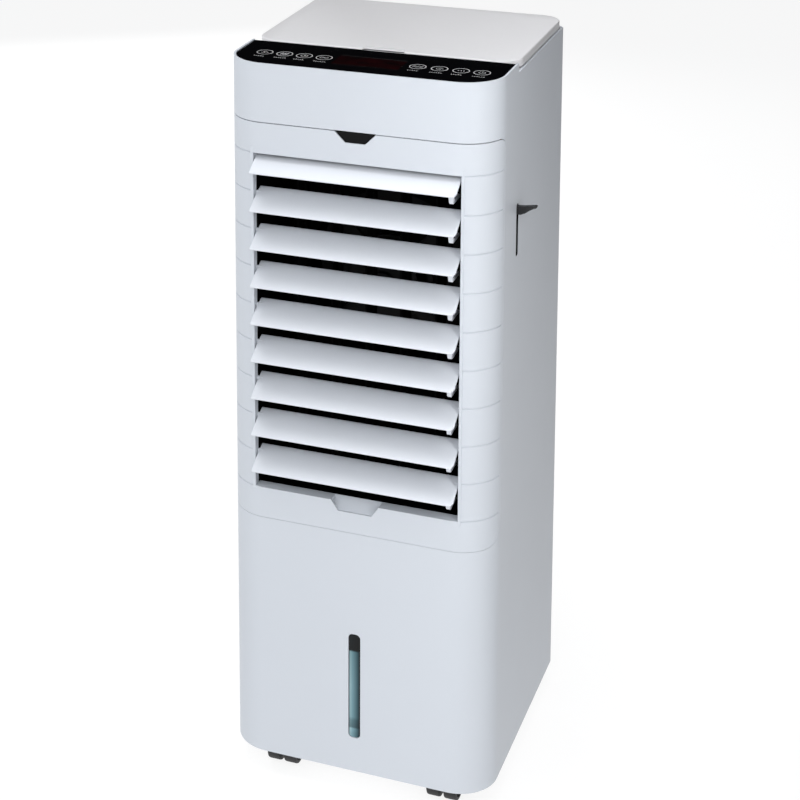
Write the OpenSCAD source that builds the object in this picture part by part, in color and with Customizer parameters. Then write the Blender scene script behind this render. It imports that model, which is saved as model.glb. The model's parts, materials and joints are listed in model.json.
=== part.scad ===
// Evaporative cooler: a tall free-standing cabinet on four twin-wheel casters.
// The front faces -Y, +X is the viewer's right, and z = 0 is the floor under the casters.

/* [Body] */
// Width of the cabinet
body_w = 308; // [300:1:330]
// Depth of the cabinet
body_d = 316; // [312:1:330]
// Height from the floor to the top rim
body_h = 850; // [846:1:870]
// Gap between the floor and the bottom rim
clearance = 30; // [30:1:34]
// Radius of the two front upright corners
front_r = 46; // [40:1:50]
// Radius of the two rear upright corners
rear_r = 14; // [10:1:18]
// Thickness of the moulded walls
wall = 2.5; // [2:0.1:3]

/* [Front] */
// Bottom edge of the air outlet
outlet_z = 356.8; // [352:0.1:358]
// Half of the outlet's width
outlet_x = 117.6; // [112:0.1:118]
// Height of one louvre's share of the outlet
pitch = 43.5; // [43:0.1:44]
// Tilt of the louvres below level at rest
tilt = 25; // [15:1:30]
// Lower seam of the grille frame
seam_low = 321; // [315:1:325]
// Upper seam of the grille frame
seam_high = 783; // [778:1:785]

/* [Water] */
// Height of the water tank's walls
tank_h = 160; // [140:1:165]
// Lower end of the water-level window
level_low = 71.6; // [65:0.1:80]
// Upper end of the water-level window
level_high = 198.8; // [180:0.1:200]

/* [Top] */
// Depth of the control panel, from the front edge back
panel_d = 96; // [90:1:100]
// Thickness of the lid
lid_t = 10; // [8:1:11]

/* [Air] */
// Outer radius of the blower wheel
wheel_r = 96; // [85:1:100]
// Number of swing vanes
vane_count = 5; // [5:1:5]

/* [Casters] */
// Radius of the caster wheels
roll_r = 18; // [16:1:18]
// Sideways place of each caster's swivel axis
caster_x = 96; // [92:1:100]
// Fore and aft place of each caster's swivel axis
caster_y = 108; // [100:1:112]

/* [Hidden] */
$fn = 48;
louvre_count = 9;
eps = 0.01;
run = 0.05;                                  // radial clearance of a running fit
half_w = body_w / 2;
half_d = body_d / 2;
front_y = -half_d;
seam_y = half_d - 12;                        // seam between the front shell and the rear cover
rim_z = body_h - lid_t;                      // top edge of the shell behind the control panel
panel_back = front_y + panel_d;              // back edge of the control panel
frame_end = -115;                            // where the grille frame's ends meet the shell
outlet_top = outlet_z + louvre_count * pitch;
duct_x = outlet_x + 0.4;
pivot_y = front_y + 11;                      // louvre hinge line
pivot_drop = 5.2;                            // hinge line below the top of its share
louvre_half = outlet_x - 1.6;
louvre_t = 2.4;
back_len = 10;                               // hinge line to the louvre's back edge
front_len = 30.3;                            // hinge line to the louvre's front edge
pin_r = 2.5;
crank_x = 106;                               // middle of the louvre cranks
crank_pin = [16, -25.8];                     // crank pin from the hinge line, as [y, z]
crank_r = 1.6;
link_x = crank_x - 5.6;
vane_y = -96;
vane_gap = 40;
vane_low = outlet_z + 6;
vane_high = outlet_top - 8;
vane_crank = 16;                             // swing crank length, towards the back
base_z = clearance;
tank_x = 117;
tank_low = base_z + 22;
tank_front = front_y + 8;
tank_back = half_d;
blower_z = 575;
blower_y = 36;
wheel_w = 62;
pad_y = 104;                                 // front face of the cooling pad
pad_t = 30;
pad_x = 112;
pad_low = 352;
pad_high = 752;
filter_x = 122;
filter_low = 318;
filter_high = 792;
lever_y = -59.5;
lever_z = 684.5;
lever_travel = 45;
pump_x = 66;
pump_y = 100;
lid_axis_y = half_d - 6.5;
lid_axis_z = body_h - 5;
lid_pin_r = 1.3;
lid_x = half_w - 2;
lid_front = panel_back + 2;
lid_back = half_d - 1;
ear_x = 104;
axle_r = 2.5;
trail = 12;                                  // caster axle ahead of its swivel axis

function louvre_z(k) = outlet_top - pitch * (k - 1) - pivot_drop;
function vane_x(k) = (k - (vane_count + 1) / 2) * vane_gap;
function caster_at(k) = [[-1, -1], [1, -1], [-1, 1], [1, 1]][k - 1];

// ---- shared shapes ----

// Plan of the cabinet, pulled in by an inset
module plan(inset = 0) {
    fr = front_r - inset;
    rr = rear_r - inset;
    for (s = [-1, 1]) {
        translate([s * (half_w - front_r), -half_d + front_r]) circle(fr, $fn = 96);
        translate([s * (half_w - rear_r), half_d - rear_r]) circle(rr);
    }
    translate([-half_w + inset, -half_d + front_r])
        square([body_w - 2 * inset, body_d - front_r - rear_r]);
    translate([-half_w + front_r, -half_d + inset])
        square([body_w - 2 * front_r, body_d / 2]);
    translate([-half_w + rear_r, 0])
        square([body_w - 2 * rear_r, half_d - inset]);
}

// Upright wall that follows the plan between two heights
module ring(low, high, outer, inner) {
    translate([0, 0, low]) linear_extrude(high - low) difference() {
        plan(outer);
        plan(inner);
    }
}

// Box given by its lowest and highest corners
module block(low, high) {
    translate(low) cube(high - low);
}

// Rectangle with four round corners, centred
module round_rect(w, h, r) {
    square([w - 2 * r, h], center = true);
    square([w, h - 2 * r], center = true);
    for (x = [-1, 1], y = [-1, 1]) translate([x * (w / 2 - r), y * (h / 2 - r)]) circle(r);
}

// Moves its children to a caster's swivel axis
module at_caster(k) {
    translate([caster_at(k)[0] * caster_x, caster_at(k)[1] * caster_y, 0]) children();
}

// Bar along X, Y or Z
module rod_x(r, x0, x1) {
    translate([x0, 0, 0]) rotate([0, 90, 0]) cylinder(r = r, h = x1 - x0);
}
module rod_y(r, y0, y1) {
    translate([0, y0, 0]) rotate([-90, 0, 0]) cylinder(r = r, h = y1 - y0);
}
module rod_z(r, z0, z1) {
    translate([0, 0, z0]) cylinder(r = r, h = z1 - z0);
}

// Grille frame's share of the front, as seen from the side, grown by a gap
module grille_share(gap) {
    low_r = 27;
    high_r = 13;
    y0 = front_y - 20;
    y1 = frame_end + gap;
    z0 = seam_low - gap;
    z1 = seam_high + gap;
    translate([-half_w - 5, 0, 0]) rotate([90, 0, 90]) linear_extrude(body_w + 10) {
        translate([y0, z0 + low_r]) square([y1 - y0, z1 - z0 - low_r - high_r]);
        translate([y0, z0]) square([y1 - y0 - low_r, low_r * 2]);
        translate([y0, z1 - high_r * 2]) square([y1 - y0 - high_r, high_r * 2]);
        translate([y1 - low_r, z0 + low_r]) circle(low_r);
        translate([y1 - high_r, z1 - high_r]) circle(high_r);
    }
}

// Tapered outline of the receiver window and of the sill's finger notch
module trapezoid(top, bottom, height) {
    polygon([[-top, 0], [top, 0], [bottom, -height], [-bottom, -height]]);
}

// Level slot's outline on the front, standing in XZ
module level_shape(grow, y0, y1) {
    translate([0, y1, (level_low + level_high) / 2]) rotate([90, 0, 0]) linear_extrude(y1 - y0)
        round_rect(13.7 + 2 * grow, level_high - level_low + 2 * grow, 5 + grow);
}

// ---- casing ----

module front_shell() color("whitesmoke") {
    difference() {
        union() {
            ring(base_z, rim_z, 0, wall);
            intersection() {
                ring(rim_z - eps, body_h, 0, wall);
                block([-half_w, front_y, rim_z - 1], [half_w, panel_back, body_h]);
            }
            // bosses for the rear cover's screws
            at_screws() rod_y(4, half_d - 26, seam_y);
            for (s = [-1, 1], z = [100, 450, 800])
                block([s > 0 ? 136 : 1 - half_w, half_d - 26, z - 1.5], [s > 0 ? half_w - 1 : -136, seam_y, z + 1.5]);
            // ledge behind the grille frame's seams
            for (z = [seam_low - 8, seam_high + 1]) intersection() {
                ring(z, z + 7, wall - eps, wall + 4);
                block([-half_w, front_y, z], [half_w, frame_end, z + 7]);
            }
        }
        block([-half_w - 1, seam_y, base_z - 1], [half_w + 1, half_d + 1, body_h + 1]);
        at_screws() rod_y(1.8, half_d - 15, half_d);
        grille_share(0.6);
        level_shape(0.2, front_y - 1, front_y + wall + 1);
        // slot for the louvre lever
        translate([half_w - wall - 1, lever_y, 661]) rotate([90, 0, 90])
            linear_extrude(wall + 2) round_rect(9, 60, 3);
        // receiver window under the head
        translate([0, front_y + wall + 1, seam_high + 1]) rotate([90, 0, 0])
            linear_extrude(wall + 2) trapezoid(23.6, 23.6, 2);
    }
}

module rear_cover() color("whitesmoke") {
    difference() {
        union() {
            intersection() {
                ring(base_z, rim_z - 1, 0, wall);
                block([-half_w, seam_y + 0.3, base_z], [half_w, half_d, rim_z]);
            }
            translate([0, 0, base_z]) intersection() {
                linear_extrude(rim_z - 1 - base_z) plan(wall - eps);
                block([-half_w, half_d - wall, 0], [half_w, half_d, body_h]);
            }
        }
        // filter opening, tank opening, cord gland and the lower vent slots
        block([-filter_x - 0.6, half_d - 6, filter_low - 0.6],
            [filter_x + 0.6, half_d + 1, filter_high + 0.6]);
        block([-tank_x - 4, half_d - 6, base_z + 16], [tank_x + 4, half_d + 1, tank_low + tank_h + 6]);
        translate([-128, 0, 262]) rod_y(9.05, half_d - 6, half_d + 1);
        at_screws() {
            rod_y(1.8, half_d - 4, half_d + 1);
            rod_y(4, half_d - 1.5, half_d + 1);
        }
        for (i = [0:6]) translate([-60 + i * 20, 0, 0])
            block([-7, half_d - 6, 250], [7, half_d + 1, 256]);
    }
}

module base_pan() color("lightgray") {
    z0 = base_z + 4;
    difference() {
        union() {
            translate([0, 0, z0]) linear_extrude(4) plan(wall + 0.3);
            ring(z0, z0 + 12, wall + 0.3, wall + 3);
            // wells and stem sockets for the casters
            for (k = [1:4]) at_caster(k) {
                rod_z(38, z0, z0 + 13);
                rod_z(9, z0 + 8, z0 + 17);
            }
            // rails that carry the tank
            for (s = [-1, 1]) block([s * 40 - 6, -120, z0 + 4 - eps], [s * 40 + 6, 140, tank_low - 0.3]);
        }
        for (k = [1:4]) at_caster(k) {
            difference() {
                rod_z(36, z0 - 1, z0 + 11);
                rod_z(9, z0 + 8, z0 + 17);
            }
            rod_z(5 + run, z0 + 7, z0 + 15);
        }
    }
}

module top_deck() color("whitesmoke") {
    z1 = rim_z - 1;
    difference() {
        union() {
            translate([0, 0, z1 - 3]) linear_extrude(3) plan(wall + 0.3);
            // fill basin under the lid
            block([-92, -38, z1 - 22], [92, 92, z1 - 3 + eps]);
            // floor of the lid's finger notch
            block([-24, -62.2, z1 - eps], [24, -54.3, z1 + 8]);
            // hinge ears
            for (s = [-1, 1]) translate([s * ear_x, lid_axis_y, 0]) {
                block([-3, -2.6, z1 - 2], [3, 2.6, lid_axis_z]);
                translate([0, 0, lid_axis_z]) rod_x(2.6, -3, 3);
            }
        }
        block([-89.5, -35.5, z1 - 19.5], [89.5, 89.5, z1 + 1]);
        translate([0, 27, 0]) rod_z(17, z1 - 24, z1);
        for (s = [-1, 1]) translate([s * ear_x, lid_axis_y, lid_axis_z]) rod_x(lid_pin_r + run, -5, 5);
    }
}

// ---- control head ----

module control_panel() color("black") {
    difference() {
        translate([0, 0, rim_z + 2]) linear_extrude(lid_t - 3) intersection() {
            plan(wall + 0.3);
            translate([-half_w, front_y]) square([body_w, panel_d - 0.6]);
        }
        translate([0, front_y + panel_d / 2, 0]) {
            block([-38.3, -18.3, body_h - 3], [38.3, 18.3, body_h]);
            block([-120, -30, rim_z + 1], [120, 30, rim_z + 5]);
        }
    }
}

module display_window() color("darkred") {
    translate([0, front_y + panel_d / 2, 0]) block([-38, -18, body_h - 3], [38, 18, body_h - 1]);
}

module control_board() color("darkgreen") {
    translate([0, front_y + panel_d / 2, 0]) {
        block([-116, -27, rim_z + 2.4], [116, 27, rim_z + 4]);
        for (s = [-1, 1]) translate([s * 112, 0, 0]) rod_z(3, rim_z - 1, rim_z + 2.4 + eps);
    }
}

// ---- grille ----

module grille_frame() color("whitesmoke") {
    side_y = front_y + 23;
    difference() {
        union() {
            intersection() {
                ring(seam_low, seam_high, 0, wall);
                grille_share(0);
            }
            // cheeks that carry the louvre pins
            for (s = [-1, 1]) block(
                [s > 0 ? duct_x : -duct_x - 3, front_y + 1, outlet_z - 6],
                [s > 0 ? duct_x + 3 : -duct_x, side_y, outlet_top + 7]);
            // sill ledge, with a sloping floor behind its finger notch
            block([-duct_x, front_y + 1, outlet_z - 3], [duct_x, front_y + 15, outlet_z]);
            translate([-28, 0, 0]) rotate([90, 0, 90]) linear_extrude(56) polygon([
                [front_y + wall - eps, outlet_z - 13], [front_y + 14, outlet_z - 1],
                [front_y + 14, outlet_z - 4], [front_y + wall - eps, outlet_z - 17]]);
        }
        block([-duct_x + 0.4, front_y - 1, outlet_z], [duct_x - 0.4, front_y + wall + 3, outlet_top]);
        // finger notch in the sill's front edge
        translate([0, front_y + wall, outlet_z + 1]) rotate([90, 0, 0])
            linear_extrude(wall + 1) trapezoid(28.5, 19.5, 13);
        for (k = [1:louvre_count]) translate([0, pivot_y, louvre_z(k)])
            rod_x(pin_r + run, -duct_x - 4, duct_x + 4);
        // bands across the side columns
        for (k = [0:louvre_count]) translate([0, 0, outlet_z + k * pitch - 0.6]) difference() {
            ring(0, 1.2, -1, 0.7);
            block([-outlet_x, front_y - 2, -1], [outlet_x, 0, 3]);
            block([-half_w - 2, frame_end - 4, -1], [half_w + 2, half_d + 2, 3]);
        }
        translate([0, front_y + 4, seam_high]) rotate([90, 0, 0])
            linear_extrude(6) trapezoid(23.6, 11.3, 12);
    }
}

module receiver_window() color("black") {
    translate([0, front_y + 2.6, seam_high + 0.8]) rotate([90, 0, 0])
        linear_extrude(2.2) trapezoid(23.4, 11.2, 12.4);
}

module level_window() color("teal") {
    level_shape(0, front_y + 0.4, front_y + 3.2);
    level_shape(2.5, front_y + wall + 0.3, front_y + 4.5);
}

module air_duct() color("dimgray") {
    y0 = front_y + 23.4;
    y1 = -20;
    t = 2;
    difference() {
        block([-duct_x - 2 - t, y0, outlet_z - 4 - t], [duct_x + 2 + t, y1, outlet_top + 8 + t]);
        block([-duct_x - 2, y0 - 1, outlet_z - 4], [duct_x + 2, y1 - 3, outlet_top + 8]);
        translate([0, 0, blower_z]) rod_y(wheel_r + 4, y1 - 4, y1 + 1);
        for (k = [1:vane_count]) translate([vane_x(k), vane_y, 0])
            rod_z(2 + run, outlet_z - 10, outlet_top + 12);
    }
}

// One blade in its own frame: the hinge line is X, the blade points to -Y
module louvre(k) color("whitesmoke") {
    translate([0, pivot_y, louvre_z(k)]) {
        rotate([tilt, 0, 0]) difference() {
            union() {
                block([-louvre_half, -front_len, -louvre_t / 2], [louvre_half, back_len, louvre_t / 2]);
                rod_x(3.4, -louvre_half, louvre_half);
            }
            // slanted front corner at the right-hand end
            translate([louvre_half, -front_len, -10]) linear_extrude(20)
                polygon([[-3.4, -1], [-3.4, 0], [0.1, 13], [1, 13], [1, -1]]);
        }
        for (s = [-1, 1]) rod_x(pin_r, s > 0 ? louvre_half - 1 : -duct_x - 2.6, s > 0 ? duct_x + 2.6 : 1 - louvre_half);
        // crank under the right-hand end
        translate([crank_x - 2.8, 0, 0]) rotate([90, 0, 90]) linear_extrude(5.6) {
            polygon([[-10, -3], [-1.5, -2], [-2.5, crank_pin[1] - 2.6], [-7.5, crank_pin[1] - 2.6]]);
            translate([-5, crank_pin[1] - 2.6]) square([crank_pin[0] + 5, 5.2]);
            translate(crank_pin) circle(2.6);
        }
        translate([0, crank_pin[0], crank_pin[1]]) rod_x(crank_r, link_x - 1.4, crank_x);
    }
}

module louvre_link() color("black") {
    difference() {
        for (k = [1:louvre_count]) translate([0, pivot_y + crank_pin[0], louvre_z(k) + crank_pin[1]]) {
            rod_x(3.6, link_x - 1.2, link_x + 1.2);
            if (k < louvre_count) block([link_x - 1.2, -2.6, -pitch], [link_x + 1.2, 2.6, 0]);
        }
        for (k = [1:louvre_count]) translate([0, pivot_y + crank_pin[0], louvre_z(k) + crank_pin[1]])
            rod_x(crank_r + (k == 1 ? run : 0.25), link_x - 4, link_x + 4);
    }
}

module lever_guide() color("black") {
    x0 = half_w - wall - 3.3;
    difference() {
        block([x0, lever_y - 9, 622], [x0 + 3, lever_y + 9, 700]);
        translate([x0 - 1, lever_y, 661]) rotate([90, 0, 90]) linear_extrude(6) round_rect(7, 60, 2.5);
    }
}

module side_lever() color("black") {
    translate([half_w, lever_y, lever_z]) {
        // blade that stands out of the side and points slightly up
        rotate([90, 0, 0]) translate([0, 0, -3]) linear_extrude(6) {
            polygon([[-8, -5], [4, -5.2], [14, 0.6], [22, 4.4], [20, 6.6], [12, 5.6], [3, 4.6], [-8, 4.6]]);
            translate([21.2, 5.6]) circle(1.4);
        }
        block([-10.6, -7, -6], [-7.4, 7, 6]);
    }
}

// ---- swing vanes ----

module vane(k) color("dimgray") {
    translate([vane_x(k), vane_y, 0]) {
        block([-1, -22, vane_low], [1, 14, vane_high]);
        rod_z(3, vane_low, vane_high);
        rod_z(2, outlet_z - 5.8, outlet_top + 9.8);
        block([-2.5, -2.5, vane_low - 4.5], [2.5, vane_crank + 2.5, vane_low + eps]);
        translate([0, vane_crank, 0]) rod_z(1.5, vane_low - 8.5, vane_low - 4);
    }
}

module vane_link() color("black") {
    y = vane_y + vane_crank;
    last = vane_x(vane_count);
    difference() {
        union() {
            block([-last, y - 2.5, vane_low - 8], [last, y + 2.5, vane_low - 5.5]);
            for (k = [1:vane_count]) translate([vane_x(k), y, 0]) rod_z(3.5, vane_low - 8, vane_low - 5.5);
        }
        for (k = [1:vane_count]) translate([vane_x(k), y, 0])
            rod_z(k == 1 ? 1.5 + run : 1.8, vane_low - 9, vane_low);
    }
}

module swing_motor() color("silver") {
    z0 = outlet_top + 10.3;
    translate([0, vane_y, 0]) difference() {
        union() {
            translate([0, 9, 0]) rod_z(24, z0 + 2, z0 + 16);
            rod_z(7, z0, z0 + 3);
            block([-32, 5, z0 + 2], [32, 13, z0 + 4]);
        }
        rod_z(2 + run, z0 - 1, z0 + 6);
    }
}

// ---- air path ----

module blower_housing() color("dimgray") {
    x = wheel_r + 22;
    y1 = blower_y + wheel_w / 2 + 7;
    t = 2.5;
    difference() {
        block([-x, -19.6, blower_z - x], [x, y1, blower_z + x]);
        block([t - x, -20, blower_z - x + t], [x - t, y1 - t, blower_z + x - t]);
        translate([0, 0, blower_z]) rod_y(wheel_r - 22, y1 - t - 1, y1 + 1);
    }
}

module blower_wheel() color("dimgray") {
    y0 = blower_y - wheel_w / 2;
    y1 = blower_y + wheel_w / 2;
    translate([0, 0, blower_z]) difference() {
        union() {
            rod_y(wheel_r, y0, y0 + 3);
            rod_y(12, y0, y0 + 24);
            difference() {
                rod_y(wheel_r, y1 - 3, y1);
                rod_y(wheel_r - 20, y1 - 4, y1 + 1);
            }
            for (a = [0:15:345]) rotate([0, a, 0]) translate([wheel_r - 10, 0, 0]) rotate([0, 35, 0])
                block([-8, y0 + 1, -0.8], [8, y1 - 1, 0.8]);
        }
        rod_y(4, y0 - 1, y0 + 20);
    }
}

module fan_shaft() color("silver") {
    y0 = blower_y - wheel_w / 2;
    translate([0, 0, blower_z]) rod_y(4, y0 - 50, y0 + 19.9);
}

module fan_motor() color("silver") {
    y0 = blower_y - wheel_w / 2;
    translate([0, 0, blower_z]) difference() {
        union() {
            rod_y(42, y0 - 62, y0 - 14);
            rod_y(16, y0 - 15, y0 - 8);
            rod_y(16, y0 - 67, y0 - 61);
        }
        rod_y(4 + run, y0 - 51, y0 - 7);
    }
}

module motor_bracket() color("gray") {
    y0 = -29;
    y1 = -23.2;
    translate([0, y0, blower_z]) rotate([-90, 0, 0]) linear_extrude(y1 - y0) difference() {
        union() {
            circle(50);
            for (a = [45, 135]) rotate([0, 0, a]) square([220, 16], center = true);
        }
        circle(42.2);
    }
}

module drip_tray() color("lightgray") {
    z0 = 296;
    difference() {
        union() {
            translate([0, 0, z0]) linear_extrude(4) intersection() {
                plan(wall + 8);
                translate([-half_w, -half_d]) square([body_w, half_d + seam_y - 1]);
            }
            block([-120, pad_y - 8, z0], [120, pad_y - 6, z0 + 12]);
        }
        for (i = [-3:3]) block([i * 30 - 11, pad_y + 4, z0 - 1], [i * 30 + 11, pad_y + pad_t - 4, z0 + 5]);
        translate([pump_x, pump_y - 12, 0]) rod_z(6, z0 - 1, z0 + 5);
    }
}

// ---- water path ----

module water_tank() color("lightsteelblue") {
    t = 2.5;
    in_back = seam_y;
    difference() {
        union() {
            block([-tank_x, tank_front, tank_low], [tank_x, in_back, tank_low + tank_h]);
            block([-tank_x - 3.4, in_back - eps, base_z + 17], [tank_x + 3.4, tank_back, tank_low + tank_h + 5]);
        }
        block([t - tank_x, tank_front + t, tank_low + t], [tank_x - t, in_back - t, tank_low + tank_h + 1]);
        // finger pocket with a lip to pull on
        block([-45, in_back + 3, tank_low + 108], [45, tank_back + 1, tank_low + 140]);
        block([-45, in_back + 3, tank_low + 139], [45, tank_back - 4, tank_low + 148]);
    }
}

module pump() color("black") {
    z0 = tank_low + 5;
    translate([pump_x, pump_y, 0]) difference() {
        union() {
            block([-18, -18, z0], [18, 18, z0 + 40]);
            translate([0, -12, 0]) rod_z(5, z0 + 39, z0 + 52);
            block([-6, 4, z0 + 39], [6, 10, 295.8]);
        }
        rod_z(12, z0 - 1, z0 + 13);
        rod_z(1.5 + run, z0 - 1, z0 + 26);
        translate([0, -12, 0]) rod_z(3.2, z0 + 30, z0 + 53);
    }
}

module pump_impeller() color("white") {
    z0 = tank_low + 7;
    translate([pump_x, pump_y, 0]) {
        rod_z(10, z0 + 7, z0 + 9);
        rod_z(1.5, z0, z0 + 22);
        for (a = [0:60:300]) rotate([0, 0, a]) block([1, -0.6, z0], [10, 0.6, z0 + 7 + eps]);
    }
}

module water_hose() color("white") {
    z0 = tank_low + 47;
    z1 = pad_high + 20;
    y = pump_y - 12;
    translate([pump_x, y, 0]) {
        difference() {
            union() {
                rod_z(6.6, z0, z0 + 12);
                rod_z(4.6, z0 + 11, z1);
            }
            rod_z(5 + run, z0 - 1, z0 + 10);
        }
        translate([0, 0, z1]) sphere(4.6);
        translate([0, 0, z1]) rod_y(4.6, 0, pad_y + 1.9 - y);
    }
}

module distributor() color("lightgray") {
    z0 = pad_high + 9;
    difference() {
        block([-pad_x, pad_y + 2, z0], [pad_x, pad_y + pad_t - 2, z0 + 22]);
        block([2.5 - pad_x, pad_y + 4.5, z0 + 2.5], [pad_x - 2.5, pad_y + pad_t - 4.5, z0 + 19.5]);
        for (i = [-10:10]) translate([i * 10, pad_y + pad_t / 2, 0]) rod_z(1.5, z0 - 1, z0 + 3);
    }
}

module cooling_pad() color("peru") {
    block([-pad_x, pad_y, pad_low], [pad_x, pad_y + pad_t, pad_high]);
}

module pad_frame() color("lightgray") {
    x = pad_x + 0.4;
    difference() {
        block([-x - 5, pad_y - 4, 300.2], [x + 5, pad_y + pad_t + 3, pad_high + 8]);
        block([-x, pad_y - 0.3, pad_low - 0.2], [x, pad_y + pad_t + 0.3, pad_high + 4]);
        block([8 - x, pad_y - 5, pad_low + 8], [x - 8, pad_y + pad_t + 4, pad_high - 8]);
        for (i = [-3:3]) block([i * 30 - 11, pad_y + 4, 299], [i * 30 + 11, pad_y + pad_t - 4, pad_low + 1]);
        for (i = [-10:10]) translate([i * 10, pad_y + pad_t / 2, 0]) rod_z(2, pad_high + 3, pad_high + 9);
    }
}

module filter_frame() color("whitesmoke") {
    rows = 24;
    step = (filter_high - filter_low - 30) / rows;
    y0 = half_d - 9;
    difference() {
        block([-filter_x, y0, filter_low], [filter_x, half_d, filter_high]);
        block([12 - filter_x, y0 - 1, filter_low + 12], [filter_x - 12, half_d - 4, filter_high - 12]);
        for (i = [0:rows - 1], s = [-1, 1]) translate([s * 56, 0, filter_low + 15 + i * step])
            block([-50, y0 - 1, 3], [50, half_d + 1, step - 3]);
        // finger pulls at both edges
        for (s = [-1, 1]) translate([s * (filter_x - 5), 0, 560]) block([-3, half_d - 5, -26], [3, half_d + 1, 26]);
    }
}

module filter_mesh() color("gray") {
    block([13 - filter_x, half_d - 7, filter_low + 13], [filter_x - 13, half_d - 5, filter_high - 13]);
}

// ---- lid ----

module lid() color("whitesmoke") {
    cy = (lid_front + lid_back) / 2;
    h = lid_back - lid_front;
    z0 = body_h - lid_t + 0.5;
    difference() {
        union() {
            difference() {
                translate([0, cy, z0]) linear_extrude(lid_t - 0.5) round_rect(lid_x * 2, h, 25);
                translate([0, cy, z0 - 1]) linear_extrude(lid_t - 2.5) round_rect(lid_x * 2 - 6, h - 6, 22);
            }
            // hinge knuckles either side of each ear
            for (s = [-1, 1], o = [-5.2, 5.2]) translate([s * ear_x + o, 0, 0])
                block([-1.8, lid_axis_y - 3, body_h - 7.2], [1.8, lid_axis_y + 3.6, body_h - 1]);
        }
        block([-lid_x, lid_axis_y - 6.5, z0 - 1], [lid_x, half_d, body_h - 7.2]);
        translate([0, lid_axis_y, lid_axis_z]) rod_x(lid_pin_r, -ear_x - 12, ear_x + 12);
        for (s = [-1, 1]) translate([s * ear_x, 0, 0])
            block([-3.3, lid_axis_y - 3.4, z0 - 1], [3.3, half_d, body_h - 2.2]);
        // finger notch
        translate([0, lid_front, z0 - 1]) linear_extrude(lid_t + 2) round_rect(49, 12, 3);
    }
}

module lid_pins() color("silver") {
    for (s = [-1, 1]) translate([s * ear_x, lid_axis_y, lid_axis_z]) rod_x(lid_pin_r, -6.9, 6.9);
}

// ---- electrics and fasteners ----

module main_board() color("darkgreen") {
    block([-105, -112, 303], [-25, -40, 304.6]);
    for (x = [-98, -32], y = [-106, -46]) translate([x, y, 0]) rod_z(2.5, 300, 303 + eps);
    block([-96, -96, 304.6 - eps], [-68, -66, 326]);
    for (i = [0:2]) translate([-48, -98 + i * 18, 0]) block([-8, -6, 304.6 - eps], [8, 6, 318]);
    for (i = [0:1]) translate([-56 + i * 14, -48, 0]) rod_z(5, 304.6 - eps, 322);
}

module cord_gland() color("black") {
    translate([-128, 0, 262]) difference() {
        union() {
            rod_y(9, half_d - 12, half_d + eps);
            rod_y(11.5, half_d, half_d + 2.5);
            rod_y(6.5, half_d + 2, half_d + 14);
        }
        rod_y(3.6, half_d - 13, half_d + 15);
    }
}

// Rear cover screws, three a side
module at_screws() {
    for (s = [-1, 1], z = [100, 450, 800]) translate([s * 136, 0, z]) children();
}

module screws() color("silver") {
    at_screws() difference() {
        union() {
            rod_y(3.9, half_d - 1.5, half_d);
            rod_y(1.75, half_d - 14, half_d - 1.4);
        }
        for (a = [0, 90]) rotate([0, a, 0]) block([-2.4, half_d - 0.9, -0.5], [2.4, half_d + 1, 0.5]);
    }
}

// ---- casters ----

module caster_yoke(k) color("black") {
    z = roll_r;
    at_caster(k) {
        block([-2, -trail - 5, z - 5], [2, 9, z + 19]);
        rod_z(10, z + roll_r + 0.4, z + 20);
        rod_z(5, z + 19, base_z + 17.5);
        translate([0, -trail, z]) {
            rod_x(axle_r, -17, 17);
            // hood over the wheels
            difference() {
                rod_x(roll_r + 2.4, -18.5, 18.5);
                rod_x(roll_r + 0.8, -20, 20);
                block([-20, -30, -30], [20, 30, 6]);
            }
        }
    }
}

module caster_wheels(k) color("black") {
    at_caster(k) translate([0, -trail, roll_r]) for (s = [-1, 1]) difference() {
        translate([s * 10, 0, 0]) rod_x(roll_r, -7.5, 7.5);
        translate([s * 14.5, 0, 0]) difference() {
            rod_x(roll_r - 4, s > 0 ? 1 : -4, s > 0 ? 4 : -1);
            rod_x(6, -5, 5);
        }
        rod_x(axle_r + run, -20, 20);
    }
}

front_shell();
rear_cover();
base_pan();
top_deck();
control_panel();
display_window();
control_board();
grille_frame();
receiver_window();
level_window();
air_duct();
louvre(1);  // louvre_1
louvre(2);  // louvre_2
louvre(3);  // louvre_3
louvre(4);  // louvre_4
louvre(5);  // louvre_5
louvre(6);  // louvre_6
louvre(7);  // louvre_7
louvre(8);  // louvre_8
louvre(9);  // louvre_9
louvre_link();
side_lever();
lever_guide();
vane(1);  // vane_1
vane(2);  // vane_2
vane(3);  // vane_3
vane(4);  // vane_4
vane(5);  // vane_5
vane_link();
swing_motor();
blower_housing();
blower_wheel();
fan_shaft();
fan_motor();
motor_bracket();
drip_tray();
lid();
lid_pins();
water_tank();
pump();
pump_impeller();
water_hose();
distributor();
cooling_pad();
pad_frame();
filter_frame();
filter_mesh();
main_board();
cord_gland();
screws();
caster_yoke(1);  // caster_yoke_1
caster_yoke(2);  // caster_yoke_2
caster_yoke(3);  // caster_yoke_3
caster_yoke(4);  // caster_yoke_4
caster_wheels(1);  // caster_wheels_1
caster_wheels(2);  // caster_wheels_2
caster_wheels(3);  // caster_wheels_3
caster_wheels(4);  // caster_wheels_4
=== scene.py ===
"""Evaporative cooler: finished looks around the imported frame."""

import json
from math import cos, pi, radians, sin

import bmesh
import bpy
from mathutils import Matrix, Vector

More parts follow.
